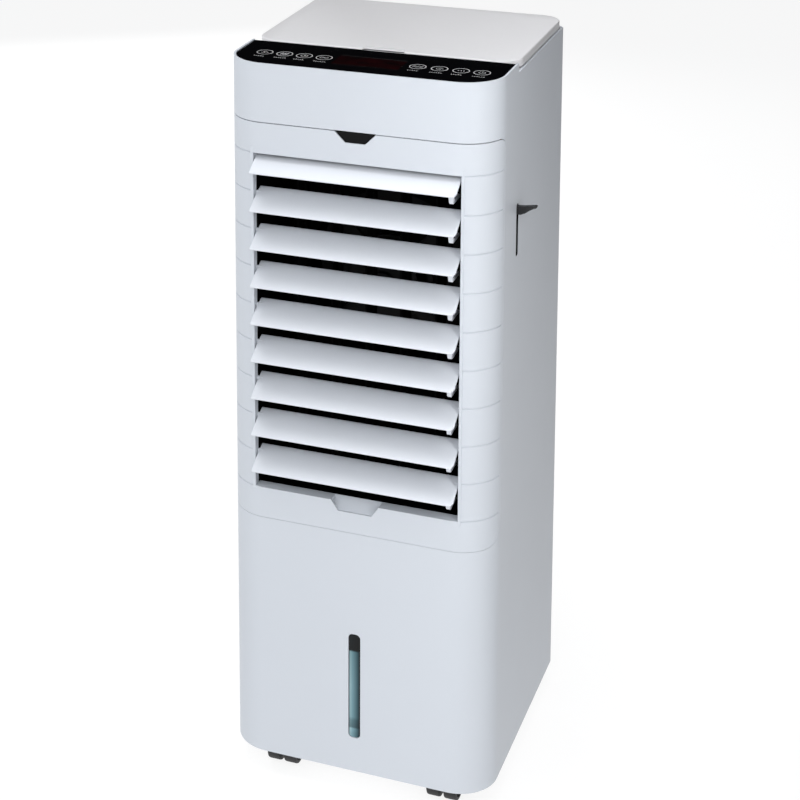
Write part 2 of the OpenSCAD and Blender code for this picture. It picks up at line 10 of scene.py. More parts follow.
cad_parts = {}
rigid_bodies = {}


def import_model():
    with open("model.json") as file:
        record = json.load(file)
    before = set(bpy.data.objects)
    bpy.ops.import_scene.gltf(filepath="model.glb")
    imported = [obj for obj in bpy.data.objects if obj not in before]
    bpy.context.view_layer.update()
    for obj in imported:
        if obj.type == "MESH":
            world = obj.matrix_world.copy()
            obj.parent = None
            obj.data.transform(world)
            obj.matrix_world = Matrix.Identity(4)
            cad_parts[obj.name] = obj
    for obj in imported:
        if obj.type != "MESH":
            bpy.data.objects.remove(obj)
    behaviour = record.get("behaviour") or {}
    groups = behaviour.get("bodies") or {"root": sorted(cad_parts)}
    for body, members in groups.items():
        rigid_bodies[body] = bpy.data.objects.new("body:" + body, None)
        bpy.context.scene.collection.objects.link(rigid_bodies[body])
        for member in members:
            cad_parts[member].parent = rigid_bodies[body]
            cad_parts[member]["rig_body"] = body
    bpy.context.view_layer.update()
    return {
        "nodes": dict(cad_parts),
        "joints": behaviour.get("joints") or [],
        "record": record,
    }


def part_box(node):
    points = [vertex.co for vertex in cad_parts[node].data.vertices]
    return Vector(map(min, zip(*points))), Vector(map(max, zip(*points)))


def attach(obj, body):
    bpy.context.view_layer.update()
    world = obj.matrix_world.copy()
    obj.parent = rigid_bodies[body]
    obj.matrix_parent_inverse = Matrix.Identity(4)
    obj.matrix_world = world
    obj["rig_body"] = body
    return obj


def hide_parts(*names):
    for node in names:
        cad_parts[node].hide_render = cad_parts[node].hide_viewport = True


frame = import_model()
MM = 0.001

# ------------------------------------------------------------------ measures

SHELL_LOW, SHELL_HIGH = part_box("front_shell")
FRAME_LOW, FRAME_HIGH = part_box("grille_frame")
LID_LOW, LID_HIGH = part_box("lid")
PANEL_LOW, PANEL_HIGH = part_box("control_panel")
COVER_LOW, COVER_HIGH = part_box("rear_cover")
HALF_W = SHELL_HIGH.x
FRONT_Y = SHELL_LOW.y
BACK_Y = COVER_HIGH.y
BASE_Z = SHELL_LOW.z
TOP_Z = SHELL_HIGH.z
RIM_Z = COVER_HIGH.z + 1 * MM
SEAM_Y = SHELL_HIGH.y
WALL = 2.5 * MM
FRONT_R = 46 * MM
REAR_R = 14 * MM
OUTLET_X = 117.6 * MM
OUTLET_Z = 356.8 * MM
PITCH = 43.5 * MM
LOUVRES = 9
OUTLET_TOP = OUTLET_Z + LOUVRES * PITCH
SEAM_LOW, SEAM_HIGH = FRAME_LOW.z, FRAME_HIGH.z
FRAME_END = -115 * MM
TILT = radians(25)
PIVOT_Y = FRONT_Y + 11 * MM
PIVOT_DROP = 5.2 * MM
FILTER_LOW, FILTER_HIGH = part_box("filter_frame")
TANK_LOW, TANK_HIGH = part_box("water_tank")


def joint(name):
    return next(j for j in frame["joints"] if j["name"] == name)


# ------------------------------------------------------------------ mesh help

def finished(obj, body, slot, material, *nodes):
    """Gives a piece its finish, its body and the CAD nodes that it stands for."""
    obj.data.materials.clear()
    obj.data.materials.append(material)
    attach(obj, body)
    if nodes:
        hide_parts(*nodes)
    return obj


def placed(name, data):
    """A new object in the scene."""
    obj = bpy.data.objects.new(name, data)
    bpy.context.scene.collection.objects.link(obj)
    return obj


def smoothed(obj, angle):
    """Shades an object smooth except on edges sharper than an angle in degrees."""
    obj.data.shade_smooth()
    obj.data.set_sharp_from_angle(angle=radians(angle))
    return obj


def applied(obj):
    """Turns an object and its modifiers into a plain mesh."""
    depsgraph = bpy.context.evaluated_depsgraph_get()
    mesh = bpy.data.meshes.new_from_object(obj.evaluated_get(depsgraph))
    obj.modifiers.clear()
    obj.data = mesh
    return obj


def from_bmesh(name, bm):
    bmesh.ops.remove_doubles(bm, verts=bm.verts, dist=1e-6)
    bmesh.ops.recalc_face_normals(bm, faces=bm.faces)
    mesh = bpy.data.meshes.new(name)
    bm.to_mesh(mesh)
    bm.free()
    return placed(name, mesh)


def softened(obj, width, segments=2, angle=35):
    """Rounds an object's edges as a mould does."""
    bevel = obj.modifiers.new("edge_radius", "BEVEL")
    bevel.width = width
    bevel.segments = segments
    bevel.limit_method = "ANGLE"
    bevel.angle_limit = radians(angle)
    bevel.use_clamp_overlap = True
    bevel.harden_normals = True
    obj.data.shade_smooth()
    applied(obj)
    if "custom_normal" not in obj.data.attributes:
        smoothed(obj, 32)
    return obj


def cut_with(obj, *cutters, operation="DIFFERENCE"):
    """Cuts an object by others, which are then dropped."""
    for cutter in cutters:
        knife = obj.modifiers.new("cut", "BOOLEAN")
        knife.operation = operation
        knife.solver = "EXACT"
        knife.object = cutter
        applied(obj)
        bpy.data.objects.remove(cutter)
    bm = bmesh.new()
    bm.from_mesh(obj.data)
    bmesh.ops.remove_doubles(bm, verts=bm.verts, dist=2e-6)
    bmesh.ops.dissolve_limit(bm, angle_limit=radians(0.4), verts=bm.verts, edges=bm.edges)
    bm.to_mesh(obj.data)
    bm.free()
    return obj


def joined(name, *objs):
    """Joins meshes into one object."""
    bm = bmesh.new()
    for obj in objs:
        bm.from_mesh(obj.data)
        bpy.data.objects.remove(obj)
    mesh = bpy.data.meshes.new(name)
    bm.to_mesh(mesh)
    bm.free()
    return placed(name, mesh)


AXES = {"X": Matrix(((0, 0, 1), (1, 0, 0), (0, 1, 0))),
        "Y": Matrix(((1, 0, 0), (0, 0, -1), (0, 1, 0))),
        "Z": Matrix.Identity(3)}


def prism(name, outline, low, high, axis="Z"):
    """A closed outline pulled along an axis. The outline lies in YZ for X, XZ for Y and XY for Z."""
    turn = AXES[axis]
    flip = -1 if axis == "Y" else 1
    bm = bmesh.new()
    rings = [[bm.verts.new(turn @ Vector((u, v, flip * w))) for u, v in outline] for w in (low, high)]
    bm.faces.new(rings[0])
    bm.faces.new(rings[1])
    count = len(outline)
    for i in range(count):
        j = (i + 1) % count
        bm.faces.new((rings[0][i], rings[0][j], rings[1][j], rings[1][i]))
    return from_bmesh(name, bm)


def loft(name, lower, low, upper, high):
    """A solid between two outlines of as many points, one above the other."""
    bm = bmesh.new()
    rings = [[bm.verts.new((u, v, z)) for u, v in outline] for outline, z in ((lower, low), (upper, high))]
    bm.faces.new(rings[0])
    bm.faces.new(rings[1])
    for i in range(len(lower)):
        j = (i + 1) % len(lower)
        bm.faces.new((rings[0][i], rings[0][j], rings[1][j], rings[1][i]))
    return from_bmesh(name, bm)


def block(name, low, high):
    outline = [(low[0], low[1]), (high[0], low[1]), (high[0], high[1]), (low[0], high[1])]
    return prism(name, outline, low[2], high[2])


def arc(cx, cy, r, start, end, steps):
    """Points along an arc, angles in degrees."""
    return [(cx + r * cos(radians(start + (end - start) * i / steps)),
             cy + r * sin(radians(start + (end - start) * i / steps))) for i in range(steps + 1)]


def rounded(w, h, r, cx=0.0, cy=0.0, steps=8):
    """Outline of a rectangle with round corners."""
    x, y = w / 2 - r, h / 2 - r
    return (arc(cx + x, cy + y, r, 0, 90, steps) + arc(cx - x, cy + y, r, 90, 180, steps)
            + arc(cx - x, cy - y, r, 180, 270, steps) + arc(cx + x, cy - y, r, 270, 360, steps))


def plan(inset=0.0, back=None, steps=28):
    """Plan of the cabinet, pulled in by an inset, and cut straight across at back if given."""
    w, f, b = HALF_W - inset, FRONT_Y + inset, BACK_Y - inset
    fr, rr = FRONT_R - inset, max(REAR_R - inset, 1 * MM)
    front = arc(-w + fr, f + fr, fr, 180, 270, steps) + arc(w - fr, f + fr, fr, 270, 360, steps)
    if back is not None:
        return front + [(w, back), (-w, back)]
    return front + arc(w - rr, b - rr, rr, 0, 90, 8) + arc(-w + rr, b - rr, rr, 90, 180, 8)


def tube_along(name, points, radius, sides=20, caps=True):
    """A round bar through points."""
    bm = bmesh.new()
    rings = []
    last = None
    for i, p in enumerate(points):
        a, b = points[max(i - 1, 0)], points[min(i + 1, len(points) - 1)]
        way = (Vector(b) - Vector(a)).normalized()
        side = last if last is not None else way.orthogonal()
        side = (side - way * side.dot(way)).normalized()
        last = side
        up = way.cross(side)
        rings.append([bm.verts.new(Vector(p) + (side * cos(2 * pi * k / sides) + up * sin(2 * pi * k / sides))
                                   * radius) for k in range(sides)])
    for r, s in zip(rings, rings[1:]):
        for k in range(sides):
            m = (k + 1) % sides
            bm.faces.new((r[k], r[m], s[m], s[k]))
    if caps:
        bm.faces.new(rings[0])
        bm.faces.new(rings[-1])
    return from_bmesh(name, bm)


def turned(name, profile, centre, axis="Z", sides=48):
    """A closed profile of (radius, height) points turned about an axis through centre."""
    bm = bmesh.new()
    turn = {"X": Matrix(((0, 0, 1), (1, 0, 0), (0, 1, 0))),
            "Y": Matrix(((0, 1, 0), (0, 0, 1), (1, 0, 0))), "Z": Matrix.Identity(3)}[axis]
    rings = []
    for k in range(sides):
        a = 2 * pi * k / sides
        rings.append([bm.verts.new(turn @ Vector((r * cos(a), r * sin(a), h)) + Vector(centre))
                      for r, h in profile])
    count = len(profile)
    for k in range(sides):
        r, s = rings[k], rings[(k + 1) % sides]
        for i in range(count):
            j = (i + 1) % count
            bm.faces.new((r[i], r[j], s[j], s[i]))
    bmesh.ops.remove_doubles(bm, verts=bm.verts, dist=1e-6)
    bmesh.ops.dissolve_degenerate(bm, edges=bm.edges, dist=1e-7)
    return from_bmesh(name, bm)


# ------------------------------------------------------------------ shader groups

def new_group(name, inputs, outputs):
    tree = bpy.data.node_groups.new(name, "ShaderNodeTree")
    for label, kind, value in inputs:
        socket = tree.interface.new_socket(name=label, in_out="INPUT", socket_type=kind)
        socket.default_value = value
    for label, kind in outputs:
        tree.interface.new_socket(name=label, in_out="OUTPUT", socket_type=kind)
    return tree, tree.nodes.new("NodeGroupInput"), tree.nodes.new("NodeGroupOutput")


def wire(tree, pairs):
    for source, target in pairs:
        tree.links.new(source, target)


def maths(tree, operation, a, b=None, clamp=False):
    node = tree.nodes.new("ShaderNodeMath")
    node.operation = operation
    node.use_clamp = clamp
    for socket, value in zip(node.inputs, (a, b)):
        if value is None:
            continue
        if isinstance(value, (int, float)):
            socket.default_value = value
        else:
            tree.links.new(value, socket)
    return node.outputs[0]


def noise(tree, vector, scale, detail=2.0, rough=0.5):
    node = tree.nodes.new("ShaderNodeTexNoise")
    tree.links.new(vector, node.inputs["Vector"])
    if isinstance(scale, (int, float)):
        node.inputs["Scale"].default_value = scale
    else:
        tree.links.new(scale, node.inputs["Scale"])
    node.inputs["Detail"].default_value = detail
    node.inputs["Roughness"].default_value = rough
    return node.outputs["Fac"]


def moulded_grain():
    """Fine spark-eroded grain with the slow waves of a large moulding."""
    tree, gin, gout = new_group(
        "moulded_grain",
        [("Vector", "NodeSocketVector", (0, 0, 0)), ("Grain Scale", "NodeSocketFloat", 1400.0),
         ("Grain Depth", "NodeSocketFloat", 0.3), ("Wave Depth", "NodeSocketFloat", 1.0)],
        [("Height", "NodeSocketFloat")])
    fine = noise(tree, gin.outputs["Vector"], gin.outputs["Grain Scale"], 3.0, 0.6)
    slow = noise(tree, gin.outputs["Vector"], 9.0, 1.0, 0.4)
    fine = maths(tree, "MULTIPLY", fine, gin.outputs["Grain Depth"])
    slow = maths(tree, "MULTIPLY", slow, gin.outputs["Wave Depth"])
    wire(tree, [(maths(tree, "ADD", fine, slow), gout.inputs["Height"])])
    return tree


def handled_surface():
    """Slow colour drift, faint smudges and settled dust."""
    tree, gin, gout = new_group(
        "handled_surface",
        [("Vector", "NodeSocketVector", (0, 0, 0)), ("Color", "NodeSocketColor", (0.8, 0.8, 0.8, 1)),
         ("Drift", "NodeSocketFloat", 0.04), ("Dust", "NodeSocketFloat", 0.05),
         ("Dust Color", "NodeSocketColor", (0.5, 0.48, 0.45, 1)),
         ("Roughness", "NodeSocketFloat", 0.4), ("Smudge", "NodeSocketFloat", 0.08)],
        [("Color", "NodeSocketColor"), ("Roughness", "NodeSocketFloat")])
    drift = noise(tree, gin.outputs["Vector"], 6.0, 3.0)
    shade = maths(tree, "MULTIPLY", maths(tree, "SUBTRACT", drift, 0.5), gin.outputs["Drift"])
    hue = tree.nodes.new("ShaderNodeHueSaturation")
    wire(tree, [(gin.outputs["Color"], hue.inputs["Color"]),
                (maths(tree, "ADD", shade, 1.0), hue.inputs["Value"])])
    geometry = tree.nodes.new("ShaderNodeNewGeometry")
    split = tree.nodes.new("ShaderNodeSeparateXYZ")
    tree.links.new(geometry.outputs["Normal"], split.inputs[0])
    up = maths(tree, "POWER", maths(tree, "MAXIMUM", split.outputs["Z"], 0.0), 3.0)
    speck = noise(tree, gin.outputs["Vector"], 240.0, 4.0, 0.7)
    fleck = maths(tree, "MULTIPLY", maths(tree, "SUBTRACT", speck, 0.45, True), 3.0, True)
    dust = maths(tree, "MULTIPLY", maths(tree, "MULTIPLY", up, fleck), gin.outputs["Dust"], True)
    mix = tree.nodes.new("ShaderNodeMix")
    mix.data_type = "RGBA"
    wire(tree, [(dust, mix.inputs[0]), (hue.outputs[0], mix.inputs[6]),
                (gin.outputs["Dust Color"], mix.inputs[7]), (mix.outputs[2], gout.inputs["Color"])])
    smear = noise(tree, gin.outputs["Vector"], 22.0, 4.0, 0.65)
    smear = maths(tree, "MULTIPLY", maths(tree, "SUBTRACT", smear, 0.5), gin.outputs["Smudge"])
    wire(tree, [(maths(tree, "ADD", gin.outputs["Roughness"], maths(tree, "ADD", smear, dust), True),
                 gout.inputs["Roughness"])])
    return tree


GRAIN = moulded_grain()
HANDLED = handled_surface()


def material(name):
    """An empty Principled material with Object coordinates ready."""
    mat = bpy.data.materials.new(name)
    mat.use_nodes = True
    tree = mat.node_tree
    shader = tree.nodes["Principled BSDF"]
    coords = tree.nodes.new("ShaderNodeTexCoord")
    return mat, tree, shader, coords.outputs["Object"]


def set_group(node, **values):
    for label, value in values.items():
        node.inputs[label.replace("_", " ")].default_value = value


def bumped(tree, shader, height, distance, strength=1.0):
    bump = tree.nodes.new("ShaderNodeBump")
    bump.inputs["Distance"].default_value = distance
    bump.inputs["Strength"].default_value = strength
    wire(tree, [(height, bump.inputs["Height"]), (bump.outputs["Normal"], shader.inputs["Normal"])])


def moulded(name, color, rough, grain=1400.0, depth=0.3, wave=1.0, drift=0.04, dust=0.05, smudge=0.08,
            coat=0.0, specular=0.5, distance=0.00012, subsurface=0.0):
    """A moulded plastic."""
    mat, tree, shader, where = material(name)
    skin = tree.nodes.new("ShaderNodeGroup")
    skin.node_tree = HANDLED
    set_group(skin, Color=(*color, 1), Drift=drift, Dust=dust, Roughness=rough, Smudge=smudge)
    texture = tree.nodes.new("ShaderNodeGroup")
    texture.node_tree = GRAIN
    set_group(texture, Grain_Scale=grain, Grain_Depth=depth, Wave_Depth=wave)
    wire(tree, [(where, skin.inputs["Vector"]), (where, texture.inputs["Vector"]),
                (skin.outputs["Color"], shader.inputs["Base Color"]),
                (skin.outputs["Roughness"], shader.inputs["Roughness"])])
    bumped(tree, shader, texture.outputs["Height"], distance)
    shader.inputs["Coat Weight"].default_value = coat
    shader.inputs["Coat Roughness"].default_value = 0.06
    shader.inputs["Specular IOR Level"].default_value = specular
    if subsurface:
        shader.inputs["Subsurface Weight"].default_value = subsurface
        shader.inputs["Subsurface Radius"].default_value = (0.004, 0.003, 0.0025)
        shader.inputs["Subsurface Scale"].default_value = 0.3
    return mat


def metal(name, color, rough, stretch=(1, 1, 1), scale=300.0):
    """Brushed or plated metal."""
    mat, tree, shader, where = material(name)
    mapping = tree.nodes.new("ShaderNodeMapping")
    mapping.inputs["Scale"].default_value = stretch
    tree.links.new(where, mapping.inputs["Vector"])
    streak = noise(tree, mapping.outputs[0], scale, 4.0, 0.6)
    skin = tree.nodes.new("ShaderNodeGroup")
    skin.node_tree = HANDLED
    set_group(skin, Color=(*color, 1), Drift=0.08, Dust=0.05, Roughness=rough, Smudge=0.15)
    wire(tree, [(where, skin.inputs["Vector"]), (skin.outputs["Color"], shader.inputs["Base Color"]),
                (skin.outputs["Roughness"], shader.inputs["Roughness"])])
    bumped(tree, shader, streak, 0.00003)
    shader.inputs["Metallic"].default_value = 1.0
    return mat


SHELL_WHITE = moulded("shell_white", (0.59, 0.62, 0.665), 0.38, depth=0.10, wave=1.6, specular=0.1)
LOUVRE_WHITE = moulded("louvre_white", (0.68, 0.705, 0.75), 0.32, depth=0.08, wave=0.5, specular=0.25)
LID_WHITE = moulded("lid_white", (0.70, 0.695, 0.705), 0.42, grain=900.0, depth=0.5, coat=0.0)
PANEL_BLACK = moulded("panel_black", (0.0015, 0.0015, 0.002), 0.10, depth=0.0, wave=0.2, dust=0.0,
                       smudge=0.03, specular=0.15)
PRINT_WHITE = moulded("print_white", (0.62, 0.63, 0.64), 0.5, drift=0.2)
# Painted shade: the duct, housing, vanes, link and other inner parts are partly black plastic, and their near-zero
# colour, darker than black plastic, stands in for the shade inside the cooler.
INNER_BLACK_AND_PAINTED_SHADE = moulded("inner_black", (0.0012, 0.0012, 0.0014), 0.7, grain=700.0, depth=0.5, dust=0.0, specular=0.02)
BASE_GREY = moulded("base_grey", (0.52, 0.53, 0.55), 0.55, grain=800.0, depth=0.5)
LEVER_BLACK = moulded("lever_black", (0.008, 0.008, 0.009), 0.28, depth=0.1)
CASTER_BLACK = moulded("caster_black", (0.008, 0.008, 0.009), 0.45, grain=600.0, depth=0.6, dust=0.12)
TREAD_BLACK = moulded("tread_black", (0.014, 0.014, 0.015), 0.62, grain=420.0, depth=0.9, dust=0.3)
# Painted shade: the blower wheel and pump impeller are near black, standing in for the shade inside the cooler.
FAN_NEAR_BLACK_PAINTED_SHADE = moulded("fan_near_black_painted_shade", (0.0025, 0.0025, 0.003), 0.5, grain=700.0, depth=0.5, dust=0.0, specular=0.1)
ZINC = metal("zinc_plate", (0.62, 0.63, 0.65), 0.34)
MOTOR_STEEL = metal("motor_steel", (0.55, 0.56, 0.58), 0.38, stretch=(1, 8, 1))
# Painted shade: the fan motor and its bracket are near black, standing in for the shade inside the cooler.
STEEL_NEAR_BLACK_PAINTED_SHADE = moulded("steel_near_black_painted_shade", (0.0025, 0.0025, 0.003), 0.5, grain=500.0, depth=0.3, dust=0.0, specular=0.15)

# ------------------------------------------------------------------ camera

CAMERA_AT = Vector((0.67966, -2.17676, 1.44621))
CAMERA_YAW = radians(22.4219)
CAMERA_PITCH = radians(10.5119)
CAMERA_ROLL = radians(-0.6239)
FOCAL = 2.58538
SLIDE_ACROSS, SLIDE_DOWN = 0.087199, 0.247812


def make_camera():
    """Camera with a sliding lens: its back stays nearly upright while it looks down at the cooler.
    The slide is held by the mount, so that the camera moves off without it."""
    ahead = Vector((-sin(CAMERA_YAW) * cos(CAMERA_PITCH), cos(CAMERA_YAW) * cos(CAMERA_PITCH),
                    -sin(CAMERA_PITCH)))
    right = Vector((cos(CAMERA_YAW), sin(CAMERA_YAW), 0))
    up = right.cross(ahead)
    across = right * cos(CAMERA_ROLL) + up * sin(CAMERA_ROLL)
    up = up * cos(CAMERA_ROLL) - right * sin(CAMERA_ROLL)
    middle = ahead + across * SLIDE_ACROSS - up * SLIDE_DOWN
    data = bpy.data.cameras.new("camera")
    data.sensor_width = 36
    data.lens = data.sensor_width * FOCAL * middle.length
    data.clip_start, data.clip_end = 0.05, 60
    cam = bpy.data.objects.new("camera", data)
    mount = bpy.data.objects.new("camera_mount", None)
    bpy.context.scene.collection.objects.link(mount)
    bpy.context.scene.collection.objects.link(cam)
    slid = Matrix((across, up, -middle.normalized())).transposed().to_4x4()
    slid.translation = CAMERA_AT
    cam.parent = mount
    cam.matrix_parent_inverse = slid
    bpy.context.scene.camera = cam


make_camera()

# ------------------------------------------------------------------ casing

PANEL_BACK = PANEL_HIGH.y + 0.6 * MM
LEVEL_LOW, LEVEL_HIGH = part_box("level_window")
SLOT_Y, SLOT_Z = -59.5 * MM, 661 * MM
SCREW_X = 136 * MM
SCREW_HEIGHTS = [100 * MM, 450 * MM, 800 * MM]
OUT = 1 * MM
SKIN_END = -95 * MM


def grille_share(gap, head=None):
    """Side view of the grille frame's share of the front, grown by a gap."""
    low_r, high_r = 27 * MM, 13 * MM
    y0, y1, z0, z1 = FRONT_Y - 20 * MM, FRAME_END + gap, SEAM_LOW - gap, SEAM_HIGH + (gap if head is None else head)
    return ([(y0, z0)] + arc(y1 - low_r, z0 + low_r, low_r, -90, 0, 12)
            + arc(y1 - high_r, z1 - high_r, high_r, 0, 90, 8) + [(y0, z1)])


def level_outline(grow):
    low, high = LEVEL_LOW.z + 2.5 * MM, LEVEL_HIGH.z - 2.5 * MM
    return rounded(13.7 * MM + 2 * grow, high - low + 2 * grow, 5 * MM + grow, 0, (low + high) / 2)


def trapezoid(top, bottom, height, z):
    return [(-top, z), (top, z), (bottom, z - height), (-bottom, z - height)]


SCOOP = trapezoid(28.5 * MM, 19.5 * MM, 13 * MM, OUTLET_Z + OUT)
NOTCH = trapezoid(23.6 * MM, 11.3 * MM, 12 * MM, SEAM_HIGH + 0.3 * MM)
NOTCH_HEAD = trapezoid(23.6 * MM, 22.6 * MM, 2 * MM, SEAM_HIGH + 1.2 * MM)


def make_cabinet_shell():
    """The wrap-round shell, with ribs behind both seams and a sloped lip under the lower one."""
    shell = prism("cabinet_shell", plan(0, SEAM_Y), BASE_Z, TOP_Z)
    cut_with(
        shell,
        prism("k", plan(WALL, SEAM_Y + OUT), BASE_Z - OUT, TOP_Z + OUT),
        block("k", (-HALF_W - OUT, PANEL_BACK, RIM_Z), (HALF_W + OUT, BACK_Y, TOP_Z + OUT)),
        prism("k", grille_share(0.5 * MM, 1.0 * MM), -HALF_W - OUT, HALF_W + OUT, "X"),
        prism("k", level_outline(0.2 * MM), FRONT_Y - OUT, FRONT_Y + 4 * MM, "Y"),
        prism("k", rounded(9 * MM, 60 * MM, 3 * MM, SLOT_Y, SLOT_Z), HALF_W - 4 * MM, HALF_W + OUT, "X"),
        prism("k", NOTCH_HEAD, FRONT_Y - OUT, FRONT_Y + 4 * MM, "Y"))
    softened(shell, 0.55 * MM, 3)
    ribs = []
    for z in (SEAM_LOW - 8 * MM, SEAM_HIGH + 1.2 * MM):
        rib = prism("rib", plan(WALL + 0.01 * MM, SKIN_END), z, z + 7 * MM)
        cut_with(rib, prism("k", plan(WALL + 1.5 * MM, SKIN_END + OUT), z - OUT, z + 8 * MM))
        ribs.append(rib)
    lip = loft("lip", plan(0.05 * MM, SKIN_END), SEAM_LOW - 1.0 * MM, plan(1.1 * MM, SKIN_END),
               SEAM_LOW - 0.02 * MM)
    cut_with(lip, prism("k", plan(WALL - 0.2 * MM, SKIN_END + OUT), SEAM_LOW - 3 * MM, SEAM_LOW + OUT),
             block("k", (-HALF_W, FRAME_END - 24 * MM, SEAM_LOW - 3 * MM), (HALF_W, 0, SEAM_LOW + OUT)))
    ribs.append(lip)
    shell = joined("cabinet_shell", shell, *ribs)
    finished(shell, "cabinet", "white_shell", SHELL_WHITE, "front_shell")


def cut_bands(skin):
    """Cuts the rings between the louvres: a sharp upper edge, and a slope that runs out below it."""
    for i in range(LOUVRES + 1):
        z = OUTLET_Z + i * PITCH
        low, high = z - 1.3 * MM, z + 0.6 * MM
        band = prism("band", plan(-OUT, SKIN_END), low, high)
        core = loft("k", plan(0.03 * MM, SKIN_END + OUT), low - 0.01 * MM, plan(1.6 * MM, SKIN_END + OUT),
                    high + 0.01 * MM)
        behind = block("k", (-HALF_W - 2 * OUT, FRAME_END - 4 * MM, low - OUT), (HALF_W + 2 * OUT, 0, high + OUT))
        opening = block("k", (-OUTLET_X + 0.02 * MM, FRONT_Y - 3 * OUT, low - OUT),
                        (OUTLET_X - 0.02 * MM, 0, high + OUT))
        cut_with(band, core, behind, opening)
        cut_with(skin, band)


def make_grille_frame():
    """The inset frame: its skin, the sill with its scoop, and the walls that carry the louvres, coloured black as
    painted shade behind the louvres.
    """
    skin = prism("grille_frame_skin", plan(0, SKIN_END), SEAM_LOW, SEAM_HIGH)
    cut_with(skin, prism("k", plan(WALL, SKIN_END + OUT), SEAM_LOW - OUT, SEAM_HIGH + OUT))
    cut_with(skin, prism("k", grille_share(0), -HALF_W - OUT, HALF_W + OUT, "X"), operation="INTERSECT")
    cut_with(skin, block("k", (-OUTLET_X, FRONT_Y - OUT, OUTLET_Z), (OUTLET_X, FRONT_Y + 9 * MM, OUTLET_TOP)),
             prism("k", SCOOP, FRONT_Y - OUT, FRONT_Y + 5 * MM, "Y"),
             prism("k", NOTCH, FRONT_Y - OUT, FRONT_Y + 5 * MM, "Y"))
    cut_bands(skin)
    softened(skin, 0.4 * MM, 2)
    cheeks, bearers = [], []
    low, high = OUTLET_Z - 6 * MM, OUTLET_TOP + 7 * MM
    for side in (-1, 1):
        x = sorted((side * (OUTLET_X + 0.2 * MM), side * (OUTLET_X + 3.4 * MM)))
        cheeks.append(block("cheek", (x[0], FRONT_Y + 1 * MM, low), (x[1], FRONT_Y + 10.6 * MM, high)))
        bearers.append(block("bearer", (x[0], FRONT_Y + 10.7 * MM, low), (x[1], FRONT_Y + 23 * MM, high)))
    ledge = block("ledge", (-OUTLET_X - 0.3 * MM, FRONT_Y + 1.2 * MM, OUTLET_Z - 3 * MM),
                  (OUTLET_X + 0.3 * MM, FRONT_Y + 15 * MM, OUTLET_Z - 0.05 * MM))
    cut_with(ledge, prism("k", SCOOP, FRONT_Y - OUT, FRONT_Y + 14 * MM, "Y"))
    softened(ledge, 0.3 * MM)
    floor = [(FRONT_Y + 1.6 * MM, OUTLET_Z - 12.6 * MM), (FRONT_Y + 14 * MM, OUTLET_Z - 0.3 * MM),
             (FRONT_Y + 14 * MM, OUTLET_Z - 3 * MM), (FRONT_Y + 1.6 * MM, OUTLET_Z - 15.6 * MM)]
    scoop = prism("scoop", floor, -28 * MM, 28 * MM, "X")
    grille = joined("grille_surround", skin, ledge, scoop, *cheeks)
    finished(grille, "cabinet", "white_shell", SHELL_WHITE, "grille_frame")
    # Painted shade: the walls that carry the louvres belong to the white frame but are coloured black, for the shade
    # behind the louvres.
    finished(joined("louvre_bearers", *bearers), "cabinet", "inner_black", INNER_BLACK_AND_PAINTED_SHADE)


def make_receiver_window():
    pane = prism("receiver_window_pane", trapezoid(23.2 * MM, 11.0 * MM, 12.2 * MM, SEAM_HIGH + 0.8 * MM),
                 FRONT_Y + 0.5 * MM, FRONT_Y + 2.6 * MM, "Y")
    softened(pane, 0.25 * MM)
    finished(pane, "cabinet", "receiver_black", PANEL_BLACK, "receiver_window")


# ------------------------------------------------------------------ louvres

LOUVRE_HALF = OUTLET_X - 1.6 * MM
BLADE_FRONT = 30.3 * MM
BLADE_BACK = 10 * MM
CRANK_X = 106 * MM
CRANK_PIN = (16 * MM, -25.8 * MM)
CORNER_X, CORNER_Y = 2.4 * MM, 4.8 * MM


def louvre_z(k):
    return OUTLET_TOP - PITCH * (k - 1) - PIVOT_DROP


def blade_section(front, back):
    """Cross-section of a blade from its back edge round its nose, slightly bowed, before it is tilted."""
    top, under = [], []
    steps = 18
    for i in range(steps + 1):
        t = i / steps
        y = back - (back + front) * t
        bow = 1.15 * MM * (1 - (2 * t - 0.75) ** 2)
        thick = (1.25 - 0.45 * t) * MM
        top.append((y, bow + thick))
        under.append((y, bow - thick))
    nose_y, nose_z = top[-1][0], (top[-1][1] + under[-1][1]) / 2
    nose_r = (top[-1][1] - under[-1][1]) / 2
    tail_y, tail_z = top[0][0], (top[0][1] + under[0][1]) / 2
    tail_r = (top[0][1] - under[0][1]) / 2
    nose = [(nose_y - nose_r * sin(a), nose_z + nose_r * cos(a)) for a in (pi / 4, pi / 2, 3 * pi / 4)]
    tail = [(tail_y + tail_r * sin(a), tail_z - tail_r * cos(a)) for a in (pi / 4, pi / 2, 3 * pi / 4)]
    return top + nose + under[::-1] + tail


